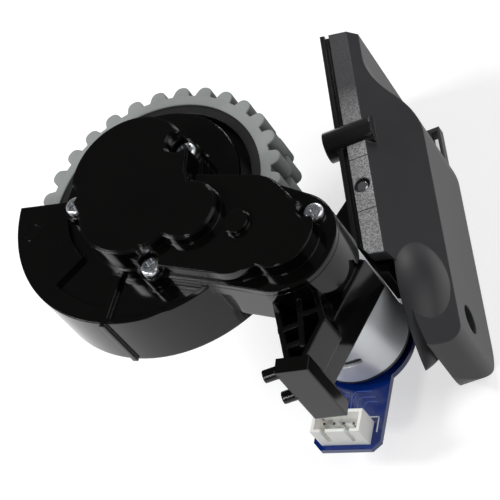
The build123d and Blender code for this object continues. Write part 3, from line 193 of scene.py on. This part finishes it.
def new_group(name, inputs, outputs):
    """Shader node group with the named sockets."""
    group = bpy.data.node_groups.new(name, "ShaderNodeTree")
    for socket_name, kind, value in inputs:
        socket = group.interface.new_socket(name=socket_name, in_out="INPUT", socket_type=kind)
        socket.default_value = value
    for socket_name, kind in outputs:
        group.interface.new_socket(name=socket_name, in_out="OUTPUT", socket_type=kind)
    group.nodes.new("NodeGroupInput")
    group.nodes.new("NodeGroupOutput")
    return group


def grain_group():
    """Two layers of noise in object space, mixed for colour and bump."""
    if "Fine Grain" in bpy.data.node_groups:
        return bpy.data.node_groups["Fine Grain"]
    group = new_group(
        "Fine Grain",
        [("Scale", "NodeSocketFloat", 900.0), ("Blotch Scale", "NodeSocketFloat", 60.0)],
        [("Grain", "NodeSocketFloat"), ("Blotch", "NodeSocketFloat")],
    )
    nodes, links = group.nodes, group.links
    inside = nodes["Group Input"]
    outside = nodes["Group Output"]
    place = nodes.new("ShaderNodeTexCoord")
    fine = nodes.new("ShaderNodeTexNoise")
    fine.inputs["Detail"].default_value = 3.0
    broad = nodes.new("ShaderNodeTexNoise")
    broad.inputs["Detail"].default_value = 2.0
    links.new(place.outputs["Object"], fine.inputs["Vector"])
    links.new(place.outputs["Object"], broad.inputs["Vector"])
    links.new(inside.outputs["Scale"], fine.inputs["Scale"])
    links.new(inside.outputs["Blotch Scale"], broad.inputs["Scale"])
    links.new(fine.outputs["Fac"], outside.inputs["Grain"])
    links.new(broad.outputs["Fac"], outside.inputs["Blotch"])
    return group


def make_material(name, dark, light, rough, metallic=0.0, scale=900.0, blotch=60.0, bump=0.1,
                  depth=0.05, edge=0.25, specular=0.5, subsurface=0.0):
    """Finish whose colour, roughness and relief vary over the surface, depth and edge in mm."""
    material = bpy.data.materials.new(name)
    material.use_nodes = True
    nodes, links = material.node_tree.nodes, material.node_tree.links
    shader = nodes["Principled BSDF"]
    shader.inputs["Metallic"].default_value = metallic
    shader.inputs["Specular IOR Level"].default_value = specular
    shader.inputs["Subsurface Weight"].default_value = subsurface
    shader.inputs["Subsurface Scale"].default_value = 2.0 * MM
    grain = nodes.new("ShaderNodeGroup")
    grain.name = "Grain"
    grain.node_tree = grain_group()
    grain.inputs["Scale"].default_value = scale
    grain.inputs["Blotch Scale"].default_value = blotch
    tint = nodes.new("ShaderNodeMix")
    tint.data_type = "RGBA"
    tint.inputs["A"].default_value = tone(dark)
    tint.inputs["B"].default_value = tone(light)
    links.new(grain.outputs["Blotch"], tint.inputs["Factor"])
    links.new(tint.outputs["Result"], shader.inputs["Base Color"])
    spread = nodes.new("ShaderNodeMapRange")
    spread.inputs["To Min"].default_value = rough[0]
    spread.inputs["To Max"].default_value = rough[1]
    links.new(grain.outputs["Blotch"], spread.inputs["Value"])
    links.new(spread.outputs["Result"], shader.inputs["Roughness"])
    rounding = nodes.new("ShaderNodeBevel")
    rounding.samples = 4
    rounding.inputs["Radius"].default_value = edge * MM
    relief = nodes.new("ShaderNodeBump")
    relief.inputs["Strength"].default_value = bump
    relief.inputs["Distance"].default_value = depth * MM
    links.new(grain.outputs["Grain"], relief.inputs["Height"])
    links.new(rounding.outputs["Normal"], relief.inputs["Normal"])
    links.new(relief.outputs["Normal"], shader.inputs["Normal"])
    return material


def math_node(tree, operation, first, second=0.0):
    """Result of a math node on two sockets or numbers."""
    node = tree.nodes.new("ShaderNodeMath")
    node.operation = operation
    for socket, value in zip(node.inputs, (first, second)):
        if isinstance(value, float):
            socket.default_value = value
        else:
            tree.links.new(value, socket)
    return node.outputs["Value"]


def ramp_node(tree, value, start, end, low=0.0, high=1.0):
    """Result that goes from low to high as the value goes from start to end."""
    node = tree.nodes.new("ShaderNodeMapRange")
    for name, number in (("From Min", start), ("From Max", end), ("To Min", low), ("To Max", high)):
        node.inputs[name].default_value = number
    tree.links.new(value, node.inputs["Value"])
    return node.outputs["Result"]


def axes_of(tree, output):
    """X, Y and Z of an output of the texture coordinate node."""
    place = tree.nodes.new("ShaderNodeTexCoord")
    apart = tree.nodes.new("ShaderNodeSeparateXYZ")
    tree.links.new(place.outputs[output], apart.inputs["Vector"])
    return apart.outputs["X"], apart.outputs["Y"], apart.outputs["Z"]


def distance_node(tree, first, second):
    """Length of a vector with two components."""
    squares = math_node(tree, "ADD", math_node(tree, "MULTIPLY", first, first),
                        math_node(tree, "MULTIPLY", second, second))
    return math_node(tree, "SQRT", squares)


def paint(material, mask, colour, rough):
    """Lays another colour and roughness over a material where the mask is 1."""
    tree = material.node_tree
    shader = tree.nodes["Principled BSDF"]
    for name, kind, value in (("Base Color", "RGBA", tone(colour)), ("Roughness", "FLOAT", rough)):
        socket = shader.inputs[name]
        below = socket.links[0].from_socket
        mix = tree.nodes.new("ShaderNodeMix")
        mix.data_type = kind
        mix.inputs["B"].default_value = value
        tree.links.new(mask, mix.inputs["Factor"])
        tree.links.new(below, mix.inputs["A"])
        tree.links.new(mix.outputs["Result"], socket)


def textured_bracket():
    """Dark moulding: a skin painted paler where it faces outwards (painted light), a sparkling
    strip, and a smooth lip, groove and screw post.
    """
    material = make_material("Textured Dark Plastic", "bracket_dark", "bracket_light",
                             (0.46, 0.58), scale=2600, blotch=90, bump=0.35, edge=0.5)
    tree = material.node_tree
    x, y, z = axes_of(tree, "Object")
    facing = axes_of(tree, "Normal")[0]
    # Painted light: faces turned outwards get a paler skin colour, as if lit from that side; the
    # skin's roughness laid on with it is real.
    skin_lit_side = ramp_node(tree, facing, *LIT_SKIN_FACING)
    paint(material, skin_lit_side, "bracket_skin_lit", SKIN_ROUGH)
    strip = math_node(tree, "MULTIPLY", math_node(tree, "GREATER_THAN", z, STRIP_FACE * MM),
                      math_node(tree, "LESS_THAN", x, STRIP_END * MM))
    speckle = ramp_node(tree, tree.nodes["Grain"].outputs["Grain"], *SPECKLE_GRAIN, *SPECKLE_SHARES)
    fade = ramp_node(tree, y, STRIP_FADE[0] * MM, STRIP_FADE[1] * MM, STRIP_DIM, 1.0)
    sparkle = math_node(tree, "MULTIPLY", math_node(tree, "MULTIPLY", strip, speckle), fade)
    paint(material, sparkle, *SPARKLE_TONE)
    for seam_y in STRIP_SEAMS:
        off = math_node(tree, "ABSOLUTE", math_node(tree, "SUBTRACT", y, seam_y * MM))
        seam = math_node(tree, "MULTIPLY", strip, math_node(tree, "LESS_THAN", off, SEAM_HALF * MM))
        paint(material, seam, *SEAM_TONE)
    lip = math_node(tree, "LESS_THAN", x, LIP_END * MM)
    reach = distance_node(tree, math_node(tree, "SUBTRACT", y, POST_Y * MM),
                          math_node(tree, "SUBTRACT", z, POST_Z * MM))
    post = math_node(tree, "MULTIPLY", math_node(tree, "LESS_THAN", reach, POST_REACH * MM),
                     math_node(tree, "LESS_THAN", x, POST_END * MM))
    smooth = math_node(tree, "MAXIMUM", lip, post)
    paint(material, smooth, *SMOOTH_TONE)
    return material


def rubber_with_painted_shade():
    """Grey rubber, with painted shade darkening the valleys between the lugs."""
    material = make_material("Grey Rubber", "tyre_dark", "tyre_light",
                             (0.72, 0.88), scale=1800, blotch=120, bump=0.35, depth=0.08, edge=0.3)
    tree = material.node_tree
    x, y, z = axes_of(tree, "Object")
    valley = ramp_node(tree, distance_node(tree, x, y),
                       (WHEEL_R - SHADE_UNDER) * MM, TYRE_BASE_R * MM, *SHADE_SHARES)
    inside = ramp_node(tree, math_node(tree, "ABSOLUTE", z),
                       (TYRE_HALF - SHADE_WITHIN[0]) * MM, (TYRE_HALF - SHADE_WITHIN[1]) * MM)
    # Painted shade: the valleys between the lugs are darkened as if shaded.
    paint(material, math_node(tree, "MULTIPLY", valley, inside), *VALLEY_SHADE_TONE)
    return material


def bright_floor():
    """Pale floor that looks near white, in reflections too, and that keeps the shadow."""
    material = make_material("Pale Floor", (0.53, 0.53, 0.53), (0.55, 0.55, 0.55), (0.7, 0.8),
                             scale=40, blotch=6, bump=0.02, edge=0.0)
    tree = material.node_tree
    shader = tree.nodes["Principled BSDF"]
    rays = tree.nodes.new("ShaderNodeLightPath").outputs
    bounced = math_node(tree, "MAXIMUM", rays["Is Glossy Ray"], rays["Is Transmission Ray"])
    seen = math_node(tree, "MAXIMUM", rays["Is Camera Ray"], bounced)
    lift = tree.nodes.new("ShaderNodeMix")
    lift.data_type = "RGBA"
    lift.inputs["A"].default_value = (0, 0, 0, 1)
    lift.inputs["B"].default_value = (FLOOR_GLOW, FLOOR_GLOW, FLOOR_GLOW, 1)
    tree.links.new(seen, lift.inputs["Factor"])
    tree.links.new(lift.outputs["Result"], shader.inputs["Emission Color"])
    shader.inputs["Emission Strength"].default_value = 1.0
    return material


# Finishes: name, darker and lighter tone, lowest and highest roughness, and the rest
PLAIN_LOOKS = {
    "gloss": ("Gloss Black Plastic", "case_dark", "case_light", (0.07, 0.15),
              dict(blotch=45, bump=0.05, depth=0.02, edge=0.6, specular=0.3)),
    "hub": ("Satin Black Plastic", (0.007, 0.007, 0.008), (0.013, 0.013, 0.014), (0.34, 0.46),
            dict(bump=0.1, edge=0.3)),
    "acetal": ("White Acetal", (0.72, 0.70, 0.64), (0.80, 0.78, 0.72), (0.35, 0.45),
               dict(bump=0.05, edge=0.1, subsurface=0.15)),
    "steel": ("Ground Steel", (0.42, 0.42, 0.44), (0.56, 0.56, 0.58), (0.22, 0.34),
              dict(metallic=1.0, bump=0.08, edge=0.1)),
    "zinc": ("Zinc Plate", (0.66, 0.68, 0.72), (0.86, 0.88, 0.92), (0.20, 0.36),
             dict(metallic=1.0, blotch=900, bump=0.12, edge=0.15)),
    "can": ("Plated Motor Can", (0.76, 0.79, 0.82), (0.88, 0.90, 0.92), (0.36, 0.48),
            dict(metallic=0.4, scale=1500, blotch=70, bump=0.08, depth=0.03, edge=0.4)),
    "cap": ("Black Moulding", (0.010, 0.010, 0.011), (0.02, 0.02, 0.02), (0.4, 0.5),
            dict(bump=0.15, edge=0.3)),
    "bronze": ("Sintered Bronze", (0.30, 0.20, 0.09), (0.42, 0.29, 0.14), (0.4, 0.55),
               dict(metallic=0.9, scale=3000, bump=0.4, depth=0.03, edge=0.1)),
    "ferrite": ("Ferrite", (0.03, 0.03, 0.033), (0.05, 0.05, 0.055), (0.6, 0.75),
                dict(scale=2500, bump=0.3, edge=0.2)),
    "copper": ("Enamelled Copper", (0.45, 0.16, 0.06), (0.62, 0.25, 0.10), (0.3, 0.4),
               dict(metallic=0.9, bump=0.1, edge=0.1)),
    "brass": ("Brass", (0.55, 0.40, 0.14), (0.68, 0.52, 0.22), (0.28, 0.4),
              dict(metallic=1.0, bump=0.1, edge=0.1)),
    "core": ("Core Steel", (0.24, 0.24, 0.25), (0.34, 0.34, 0.36), (0.4, 0.5),
             dict(metallic=0.9, bump=0.2, edge=0.1)),
    "board": ("Blue Board", "board_dark", "board_light", (0.12, 0.20),
              dict(blotch=120, bump=0.05, edge=0.15)),
    "nylon": ("White Nylon", (0.84, 0.84, 0.81), (0.91, 0.91, 0.88), (0.38, 0.5),
              dict(bump=0.08, edge=0.3, subsurface=0.1)),
    "tin": ("Tin Plate", (0.60, 0.60, 0.58), (0.72, 0.72, 0.70), (0.2, 0.3),
            dict(metallic=1.0, bump=0.05, edge=0.05)),
    "print": ("White Print", (0.62, 0.66, 0.72), (0.72, 0.76, 0.82), (0.55, 0.65),
              dict(bump=0.1, edge=0.02)),
    "trace": ("Board Trace", (0.05, 0.10, 0.42), (0.07, 0.14, 0.52), (0.3, 0.4),
              dict(bump=0.05, edge=0.02)),
}
MIXED_LOOKS = {"matte": textured_bracket, "rubber": rubber_with_painted_shade, "floor": bright_floor}
MADE_LOOKS = {}


def look(key):
    """Material of a finish, made the first time that it is asked for."""
    if key not in MADE_LOOKS:
        if key in MIXED_LOOKS:
            MADE_LOOKS[key] = MIXED_LOOKS[key]()
        else:
            name, dark, light, rough, rest = PLAIN_LOOKS[key]
            MADE_LOOKS[key] = make_material(name, dark, light, rough, **rest)
    return MADE_LOOKS[key]


NODE_LOOKS = {
    "bracket_cover": "matte", "hinge_pin": "steel", "hinge_clip": "steel",
    "gear_case": "gloss", "gear_case_cover": "gloss", "cover_screws": "zinc",
    "axle_pin": "steel", "axle_clip": "steel",
    "gear_shaft_1": "steel", "gear_shaft_2": "steel", "gear_shaft_3": "steel",
    "motor_can": "can", "motor_end_cap": "cap", "motor_magnets": "ferrite",
    "motor_front_bush": "bronze", "motor_rear_bush": "bronze", "motor_brushes": "brass",
    "motor_screws": "zinc", "encoder_board": "board", "connector_housing": "nylon",
    "connector_pins": "tin", "wheel_hub": "hub", "tyre": "rubber", "hub_bushes": "bronze",
    "compound_gear_1": "acetal", "compound_gear_2": "acetal", "compound_gear_3": "acetal",
    "motor_shaft": "steel", "motor_pinion": "brass", "rotor_core": "core",
    "rotor_windings": "copper", "commutator": "copper", "encoder_magnet": "ferrite",
}


def finish_piece(obj, name, material, body):
    """Names a finished piece, coats it and lets it ride on its body."""
    obj.name = name
    obj.data.name = name
    coat(obj, material)
    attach(obj, body)


def only(obj):
    """Selects this object alone and makes it active."""
    bpy.ops.object.select_all(action="DESELECT")
    obj.select_set(True)
    bpy.context.view_layer.objects.active = obj


def apply_place(obj):
    """Moves an object's place, turn and scale into its mesh."""
    only(obj)
    bpy.ops.object.transform_apply(location=True, rotation=True, scale=True)


def box_at(middle, size, turn=0.0):
    """Box of a size in mm, turned about Z and left at its place."""
    bpy.ops.object.select_all(action="DESELECT")
    bpy.ops.mesh.primitive_cube_add(size=1.0, location=[v * MM for v in middle],
                                    rotation=(0, 0, math.radians(turn)))
    obj = bpy.context.active_object
    obj.scale = [v * MM for v in size]
    apply_place(obj)
    return obj


def rod_at(x, y, low, high, radius, sides):
    """Upright cylinder in mm between two heights."""
    bpy.ops.object.select_all(action="DESELECT")
    bpy.ops.mesh.primitive_cylinder_add(vertices=sides, radius=radius * MM, depth=(high - low) * MM,
                                        location=(x * MM, y * MM, (low + high) / 2 * MM))
    rod = bpy.context.active_object
    apply_place(rod)
    return rod


def joined(parts):
    """Joins meshes into one object."""
    bpy.ops.object.select_all(action="DESELECT")
    for part in parts:
        part.select_set(True)
    bpy.context.view_layer.objects.active = parts[0]
    if len(parts) > 1:
        bpy.ops.object.join()
    return bpy.context.active_object


def bevelled(obj, width, segments=2, angle=ROUND_ANGLE):
    """Rounds the edges of a mesh that are sharper than this angle."""
    only(obj)
    modifier = obj.modifiers.new("Edges", "BEVEL")
    modifier.width = width
    modifier.segments = segments
    modifier.limit_method = "ANGLE"
    modifier.angle_limit = math.radians(angle)
    bpy.ops.object.modifier_apply(modifier="Edges")
    return obj


def select_in_edit(obj, kind, test):
    """Opens a mesh in edit mode with the faces or edges that pass a test selected."""
    only(obj)
    bpy.ops.object.mode_set(mode="EDIT")
    bpy.ops.mesh.select_mode(type=kind)
    bpy.ops.mesh.select_all(action="DESELECT")
    mesh = bmesh.from_edit_mesh(obj.data)
    for item in (mesh.faces if kind == "FACE" else mesh.edges):
        if test(item):
            item.select_set(True)
    bmesh.update_edit_mesh(obj.data)


class TyreSettings(bpy.types.PropertyGroup):
    lug_base: bpy.props.FloatProperty(
        name="Lug Base", description="Width of a lug where it meets the tyre",
        default=4.7 * MM, min=0.0, unit="LENGTH")
    crown_share: bpy.props.FloatProperty(
        name="Lug Crown", description="Crown width as a share of the base",
        default=0.66, min=0.1, max=1.0)
    crown_round: bpy.props.FloatProperty(
        name="Crown Rounding", description="Rounding of the lug crowns",
        default=1.25 * MM, min=0.0, unit="LENGTH")
    edge_round: bpy.props.FloatProperty(
        name="Edge Rounding", description="Rounding of the tyre's edges",
        default=0.22 * MM, min=0.0, unit="LENGTH")


class ScrewSettings(bpy.types.PropertyGroup):
    head_round: bpy.props.FloatProperty(
        name="Head Rounding", description="Rounding of the screw heads",
        default=0.5 * MM, min=0.0, unit="LENGTH")
    recess_width: bpy.props.FloatProperty(
        name="Recess Width", description="Width of a wing of the cross recess",
        default=0.62 * MM, min=0.0, unit="LENGTH")
    recess_turn: bpy.props.FloatProperty(
        name="Recess Turn", description="Turn of the cross recess",
        default=math.radians(20), subtype="ANGLE")


class BoardSettings(bpy.types.PropertyGroup):
    print_width: bpy.props.FloatProperty(
        name="Print Width", description="Width of the printed lines",
        default=0.3 * MM, min=0.0, unit="LENGTH")
    trace_width: bpy.props.FloatProperty(
        name="Trace Width", description="Width of the board's traces",
        default=0.22 * MM, min=0.0, unit="LENGTH")


class MarkSettings(bpy.types.PropertyGroup):
    mark_radius: bpy.props.FloatProperty(
        name="Mark Radius", description="Radius of an ejector mark",
        default=2.2 * MM, min=0.0, unit="LENGTH")
    mark_relief: bpy.props.FloatProperty(
        name="Mark Relief", description="Height of an ejector mark's ring",
        default=0.07 * MM, min=0.0, unit="LENGTH")


class ColourSettings(bpy.types.PropertyGroup):
    case_dark: bpy.props.FloatVectorProperty(
        name="Case, Dark", description="Darker tone of the glossy case",
        default=(0.001, 0.001, 0.001), min=0.0, max=1.0, subtype="COLOR")
    case_light: bpy.props.FloatVectorProperty(
        name="Case, Light", description="Lighter tone of the glossy case",
        default=(0.0025, 0.0025, 0.0022), min=0.0, max=1.0, subtype="COLOR")
    bracket_dark: bpy.props.FloatVectorProperty(
        name="Bracket, Dark", description="Darker tone of the bracket's sides",
        default=(0.014, 0.014, 0.017), min=0.0, max=1.0, subtype="COLOR")
    bracket_light: bpy.props.FloatVectorProperty(
        name="Bracket, Light", description="Lighter tone of the bracket's sides",
        default=(0.021, 0.021, 0.024), min=0.0, max=1.0, subtype="COLOR")
    # Painted light: this paler colour of the outward-facing skin stands in for light falling from
    # that side.
    bracket_skin_lit: bpy.props.FloatVectorProperty(
        name="Bracket Skin", description="Tone of the bracket's outer skin",
        default=(0.064, 0.065, 0.067), min=0.0, max=1.0, subtype="COLOR")
    tyre_dark: bpy.props.FloatVectorProperty(
        name="Tyre, Dark", description="Darker tone of the tyre's rubber",
        default=(0.235, 0.250, 0.246), min=0.0, max=1.0, subtype="COLOR")
    tyre_light: bpy.props.FloatVectorProperty(
        name="Tyre, Light", description="Lighter tone of the tyre's rubber",
        default=(0.285, 0.300, 0.296), min=0.0, max=1.0, subtype="COLOR")
    board_dark: bpy.props.FloatVectorProperty(
        name="Board, Dark", description="Darker tone of the board",
        default=(0.001, 0.014, 0.12), min=0.0, max=1.0, subtype="COLOR")
    board_light: bpy.props.FloatVectorProperty(
        name="Board, Light", description="Lighter tone of the board",
        default=(0.001, 0.020, 0.17), min=0.0, max=1.0, subtype="COLOR")


class StageSettings(bpy.types.PropertyGroup):
    light_power: bpy.props.FloatProperty(
        name="Key Power", description="Power of the key light in watts", default=2.3, min=0.0)
    world_level: bpy.props.FloatProperty(
        name="World Level", description="Brightness of the surroundings", default=0.09, min=0.0)


class WM_OT_finish_cad_parts(bpy.types.Operator):
    """Give every part of the module its material"""
    bl_idname = "wheel_module.finish_cad_parts"
    bl_label = "Finish Parts"

    def execute(self, context):
        for node_name, key in NODE_LOOKS.items():
            coat(bpy.data.objects[node_name], look(key))
        return {"FINISHED"}


def on_board(run, side, height):
    """Point on the board: along its tongue, across it and above its face, in mm."""
    turn = Matrix.Rotation(math.radians(BOARD_TURN), 3, "Z")
    return Vector((*MOTOR, BOARD_FACE + height)) + turn @ Vector((run, side, 0))


def board_line(start, end, width):
    """Flat raised line on the board between two points given as run and side."""
    length = math.hypot(end[0] - start[0], end[1] - start[1])
    middle = on_board((start[0] + end[0]) / 2, (start[1] + end[1]) / 2, LINE_LIFT)
    turn = BOARD_TURN + math.degrees(math.atan2(end[1] - start[1], end[0] - start[0]))
    return box_at(middle, (length + width, width, LINE_THICK), turn)


class WM_OT_add_board_print(bpy.types.Operator):
    """Add the printed outline and the traces of the encoder board"""
    bl_idname = "wheel_module.add_board_print"
    bl_label = "Board Print"

    def execute(self, context):
        settings = context.scene.wheel_module_board
        print_width = settings.print_width / MM
        trace_width = settings.trace_width / MM
        printed = joined([board_line(*ends, print_width) for ends in SOCKET_OUTLINE])
        finish_piece(printed, "board_print", look("print"), "arm")
        traces = []
        for side, run, far in TRACE_PATHS:
            corner = (run + TRACE_CORNER, side)
            bend = (run, side + TRACE_CORNER)
            for ends in (((TRACE_START, side), corner), (corner, bend), (bend, (run, far))):
                traces.append(board_line(*ends, trace_width))
        finish_piece(joined(traces), "board_traces", look("trace"), "arm")
        return {"FINISHED"}


def tyre_band(settings):
    """Plain ring of rubber under the lugs."""
    bpy.ops.object.select_all(action="DESELECT")
    middle = (TYRE_BORE_R + TYRE_BASE_R) / 2 * MM
    bpy.ops.mesh.primitive_plane_add(size=1.0, location=(middle, 0, 0),
                                     rotation=(math.radians(90), 0, 0))
    band = bpy.context.active_object
    band.scale = ((TYRE_BASE_R - TYRE_BORE_R) * MM, 2 * TYRE_HALF * MM, 1)
    apply_place(band)
    bpy.ops.object.mode_set(mode="EDIT")
    bpy.ops.mesh.select_all(action="SELECT")
    bpy.ops.mesh.delete(type="ONLY_FACE")
    bpy.ops.mesh.select_all(action="SELECT")
    bpy.ops.mesh.spin(steps=BAND_STEPS, angle=math.tau, center=(0, 0, 0), axis=(0, 0, 1))
    bpy.ops.mesh.select_all(action="SELECT")
    bpy.ops.mesh.remove_doubles(threshold=MERGE_M)
    bpy.ops.mesh.normals_make_consistent(inside=False)
    bpy.ops.object.mode_set(mode="OBJECT")
    return bevelled(band, settings.edge_round, 3)


def tyre_lug(settings, row):
    """Bar across half the tyre with leaning flanks and a rounded crown."""
    foot = TYRE_BASE_R - LUG_SUNK
    lug = box_at(((foot + WHEEL_R) / 2, 0, row * (TYRE_HALF + LUG_APART) / 2),
                 (WHEEL_R - foot, settings.lug_base / MM, TYRE_HALF - LUG_APART))
    select_in_edit(lug, "FACE", lambda face: face.normal.x > FACING)
    bpy.ops.transform.resize(value=(1, settings.crown_share, 1))
    bpy.ops.object.mode_set(mode="OBJECT")
    crown = (WHEEL_R - CROWN_DEPTH) * MM
    select_in_edit(lug, "EDGE", lambda edge: all(v.co.x > crown for v in edge.verts)
                   and abs(edge.verts[0].co.z - edge.verts[1].co.z) > MM)
    bpy.ops.mesh.bevel(offset=settings.crown_round, segments=CROWN_STEPS)
    bpy.ops.object.mode_set(mode="OBJECT")
    return bevelled(lug, settings.edge_round, angle=LUG_ROUND_ANGLE)


class WM_OT_add_tyre(bpy.types.Operator):
    """Add the tyre with its two staggered rows of rounded lugs"""
    bl_idname = "wheel_module.add_tyre"
    bl_label = "Tyre"

    def execute(self, context):
        settings = context.scene.wheel_module_tyre
        band = tyre_band(settings)
        pitch = 360.0 / LUG_COUNT
        lugs = []
        for row, start in ((1, 0.0), (-1, pitch / 2)):
            lug = tyre_lug(settings, row)
            for index in range(LUG_COUNT):
                if index:
                    bpy.ops.object.duplicate()
                    lug = bpy.context.active_object
                only(lug)
                step = pitch if index else start
                bpy.ops.transform.rotate(value=-math.radians(step), orient_axis="Z",
                                         center_override=(0, 0, 0))
                lugs.append(lug)
        for lug in lugs:
            apply_place(lug)
        tyre = joined([band] + lugs)
        only(tyre)
        bpy.ops.object.shade_smooth_by_angle(angle=math.radians(SMOOTH_ANGLE))
        finish_piece(tyre, "tyre_lugged", look("rubber"), "wheel")
        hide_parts("tyre")
        return {"FINISHED"}


def screw_head(settings, x, y, seat):
    """Pan head with a cross recess, on its seat."""
    head = rod_at(x, y, seat, seat + SCREW_HEAD_H, SCREW_HEAD_R, HEAD_SIDES)
    select_in_edit(head, "FACE", lambda face: face.normal.z > FACING)
    bpy.ops.transform.resize(value=(SCREW_TOP_SHARE, SCREW_TOP_SHARE, 1))
    bpy.ops.object.mode_set(mode="OBJECT")
    bevelled(head, settings.head_round, 4)
    for turn in (0, 90):
        wing = box_at((x, y, seat + RECESS_LIFT),
                      (RECESS_LENGTH, settings.recess_width / MM, RECESS_TALL),
                      math.degrees(settings.recess_turn) + turn)
        cut = head.modifiers.new("Recess", "BOOLEAN")
        cut.operation = "DIFFERENCE"
        cut.object = wing
        cut.solver = "EXACT"
        only(head)
        bpy.ops.object.modifier_apply(modifier="Recess")
        bpy.data.objects.remove(wing)
    return head


class WM_OT_add_cover_screws(bpy.types.Operator):
    """Add the rounded cross recess heads of the cover screws"""
    bl_idname = "wheel_module.add_cover_screws"
    bl_label = "Cover Screws"

    def execute(self, context):
        settings = context.scene.wheel_module_screws
        parts = []
        for x, y, seat in COVER_SCREWS:
            parts.append(screw_head(settings, x, y, seat))
            parts.append(rod_at(x, y, SCREW_TIP_Z, seat, SCREW_CORE_R, CORE_SIDES))
        screws = joined(parts)
        only(screws)
        bpy.ops.object.shade_smooth_by_angle(angle=math.radians(SMOOTH_ANGLE))
        finish_piece(screws, "cover_screws_detailed", look("zinc"), "arm")
        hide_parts("cover_screws")
        return {"FINISHED"}


class WM_OT_add_mould_marks(bpy.types.Operator):
    """Add the faint ring that an ejector pin leaves on the wheel guard"""
    bl_idname = "wheel_module.add_mould_marks"
    bl_label = "Mould Marks"

    def execute(self, context):
        settings = context.scene.wheel_module_marks
        rings = []
        for x, y in MOULD_MARKS:
            bpy.ops.object.select_all(action="DESELECT")
            bpy.ops.mesh.primitive_torus_add(
                location=(x * MM, y * MM, GUARD_FACE * MM),
                major_segments=MARK_STEPS, minor_segments=MARK_RING_STEPS,
                major_radius=settings.mark_radius, minor_radius=settings.mark_relief)
            ring = bpy.context.active_object
            apply_place(ring)
            rings.append(ring)
        finish_piece(joined(rings), "mould_marks", look("gloss"), "arm")
        return {"FINISHED"}


class WM_OT_add_stage(bpy.types.Operator):
    """Add the floor, the lights and the camera"""
    bl_idname = "wheel_module.add_stage"
    bl_label = "Stage"

    def execute(self, context):
        settings = context.scene.wheel_module_stage
        bpy.ops.object.select_all(action="DESELECT")
        bpy.ops.mesh.primitive_plane_add(size=FLOOR_SIZE_M, location=(0, 0, FLOOR_Z * MM))
        floor = bpy.context.active_object
        floor.name = "floor"
        coat(floor, look("floor"))
        world = bpy.data.worlds.new("Soft Surroundings")
        world.use_nodes = True
        background = world.node_tree.nodes["Background"]
        background.inputs["Color"].default_value = (1, 1, 1, 1)
        background.inputs["Strength"].default_value = settings.world_level
        context.scene.world = world
        for name, place, size, share in LIGHTS:
            bpy.ops.object.light_add(type="AREA", location=place)
            light = bpy.context.active_object
            light.name = name
            light.data.energy = settings.light_power * share
            light.data.size = size
            light.rotation_euler = (-light.location).to_track_quat("-Z", "Y").to_euler()
        bpy.ops.object.camera_add(location=CAMERA_PLACE, rotation=CAMERA_TURN.to_euler())
        camera = bpy.context.active_object
        camera.name = "Photo Camera"
        camera.data.sensor_width = CAMERA_SENSOR
        camera.data.lens = CAMERA_LENS
        camera.data.clip_start = CAMERA_CLIP_M
        context.scene.camera = camera
        context.scene.view_settings.view_transform = "Standard"
        return {"FINISHED"}


OPERATORS = (
    WM_OT_finish_cad_parts,
    WM_OT_add_board_print,
    WM_OT_add_tyre,
    WM_OT_add_cover_screws,
    WM_OT_add_mould_marks,
    WM_OT_add_stage,
)
SETTINGS = {
    "wheel_module_tyre": TyreSettings,
    "wheel_module_screws": ScrewSettings,
    "wheel_module_board": BoardSettings,
    "wheel_module_marks": MarkSettings,
    "wheel_module_colours": ColourSettings,
    "wheel_module_stage": StageSettings,
}


class WM_PT_panel(bpy.types.Panel):
    """Sizes and colours of the module's pieces, and a button for each group of them"""
    bl_idname = "WM_PT_panel"
    bl_label = "Wheel Module"
    bl_space_type = "VIEW_3D"
    bl_region_type = "UI"
    bl_category = "Wheel Module"

    def draw(self, context):
        for name, group in SETTINGS.items():
            for prop in group.__annotations__:
                self.layout.prop(getattr(context.scene, name), prop)
        for operator in OPERATORS:
            self.layout.operator(operator.bl_idname)


CLASSES = tuple(SETTINGS.values()) + OPERATORS + (WM_PT_panel,)


def register():
    for cls in CLASSES:
        bpy.utils.register_class(cls)
    for name, group in SETTINGS.items():
        setattr(bpy.types.Scene, name, bpy.props.PointerProperty(type=group))


def unregister():
    for name in SETTINGS:
        delattr(bpy.types.Scene, name)
    for cls in reversed(CLASSES):
        bpy.utils.unregister_class(cls)


def main():
    register()
    bpy.ops.wheel_module.finish_cad_parts()
    bpy.ops.wheel_module.add_board_print()
    bpy.ops.wheel_module.add_tyre()
    bpy.ops.wheel_module.add_cover_screws()
    bpy.ops.wheel_module.add_mould_marks()
    bpy.ops.wheel_module.add_stage()


if __name__ == "__main__":
    main()
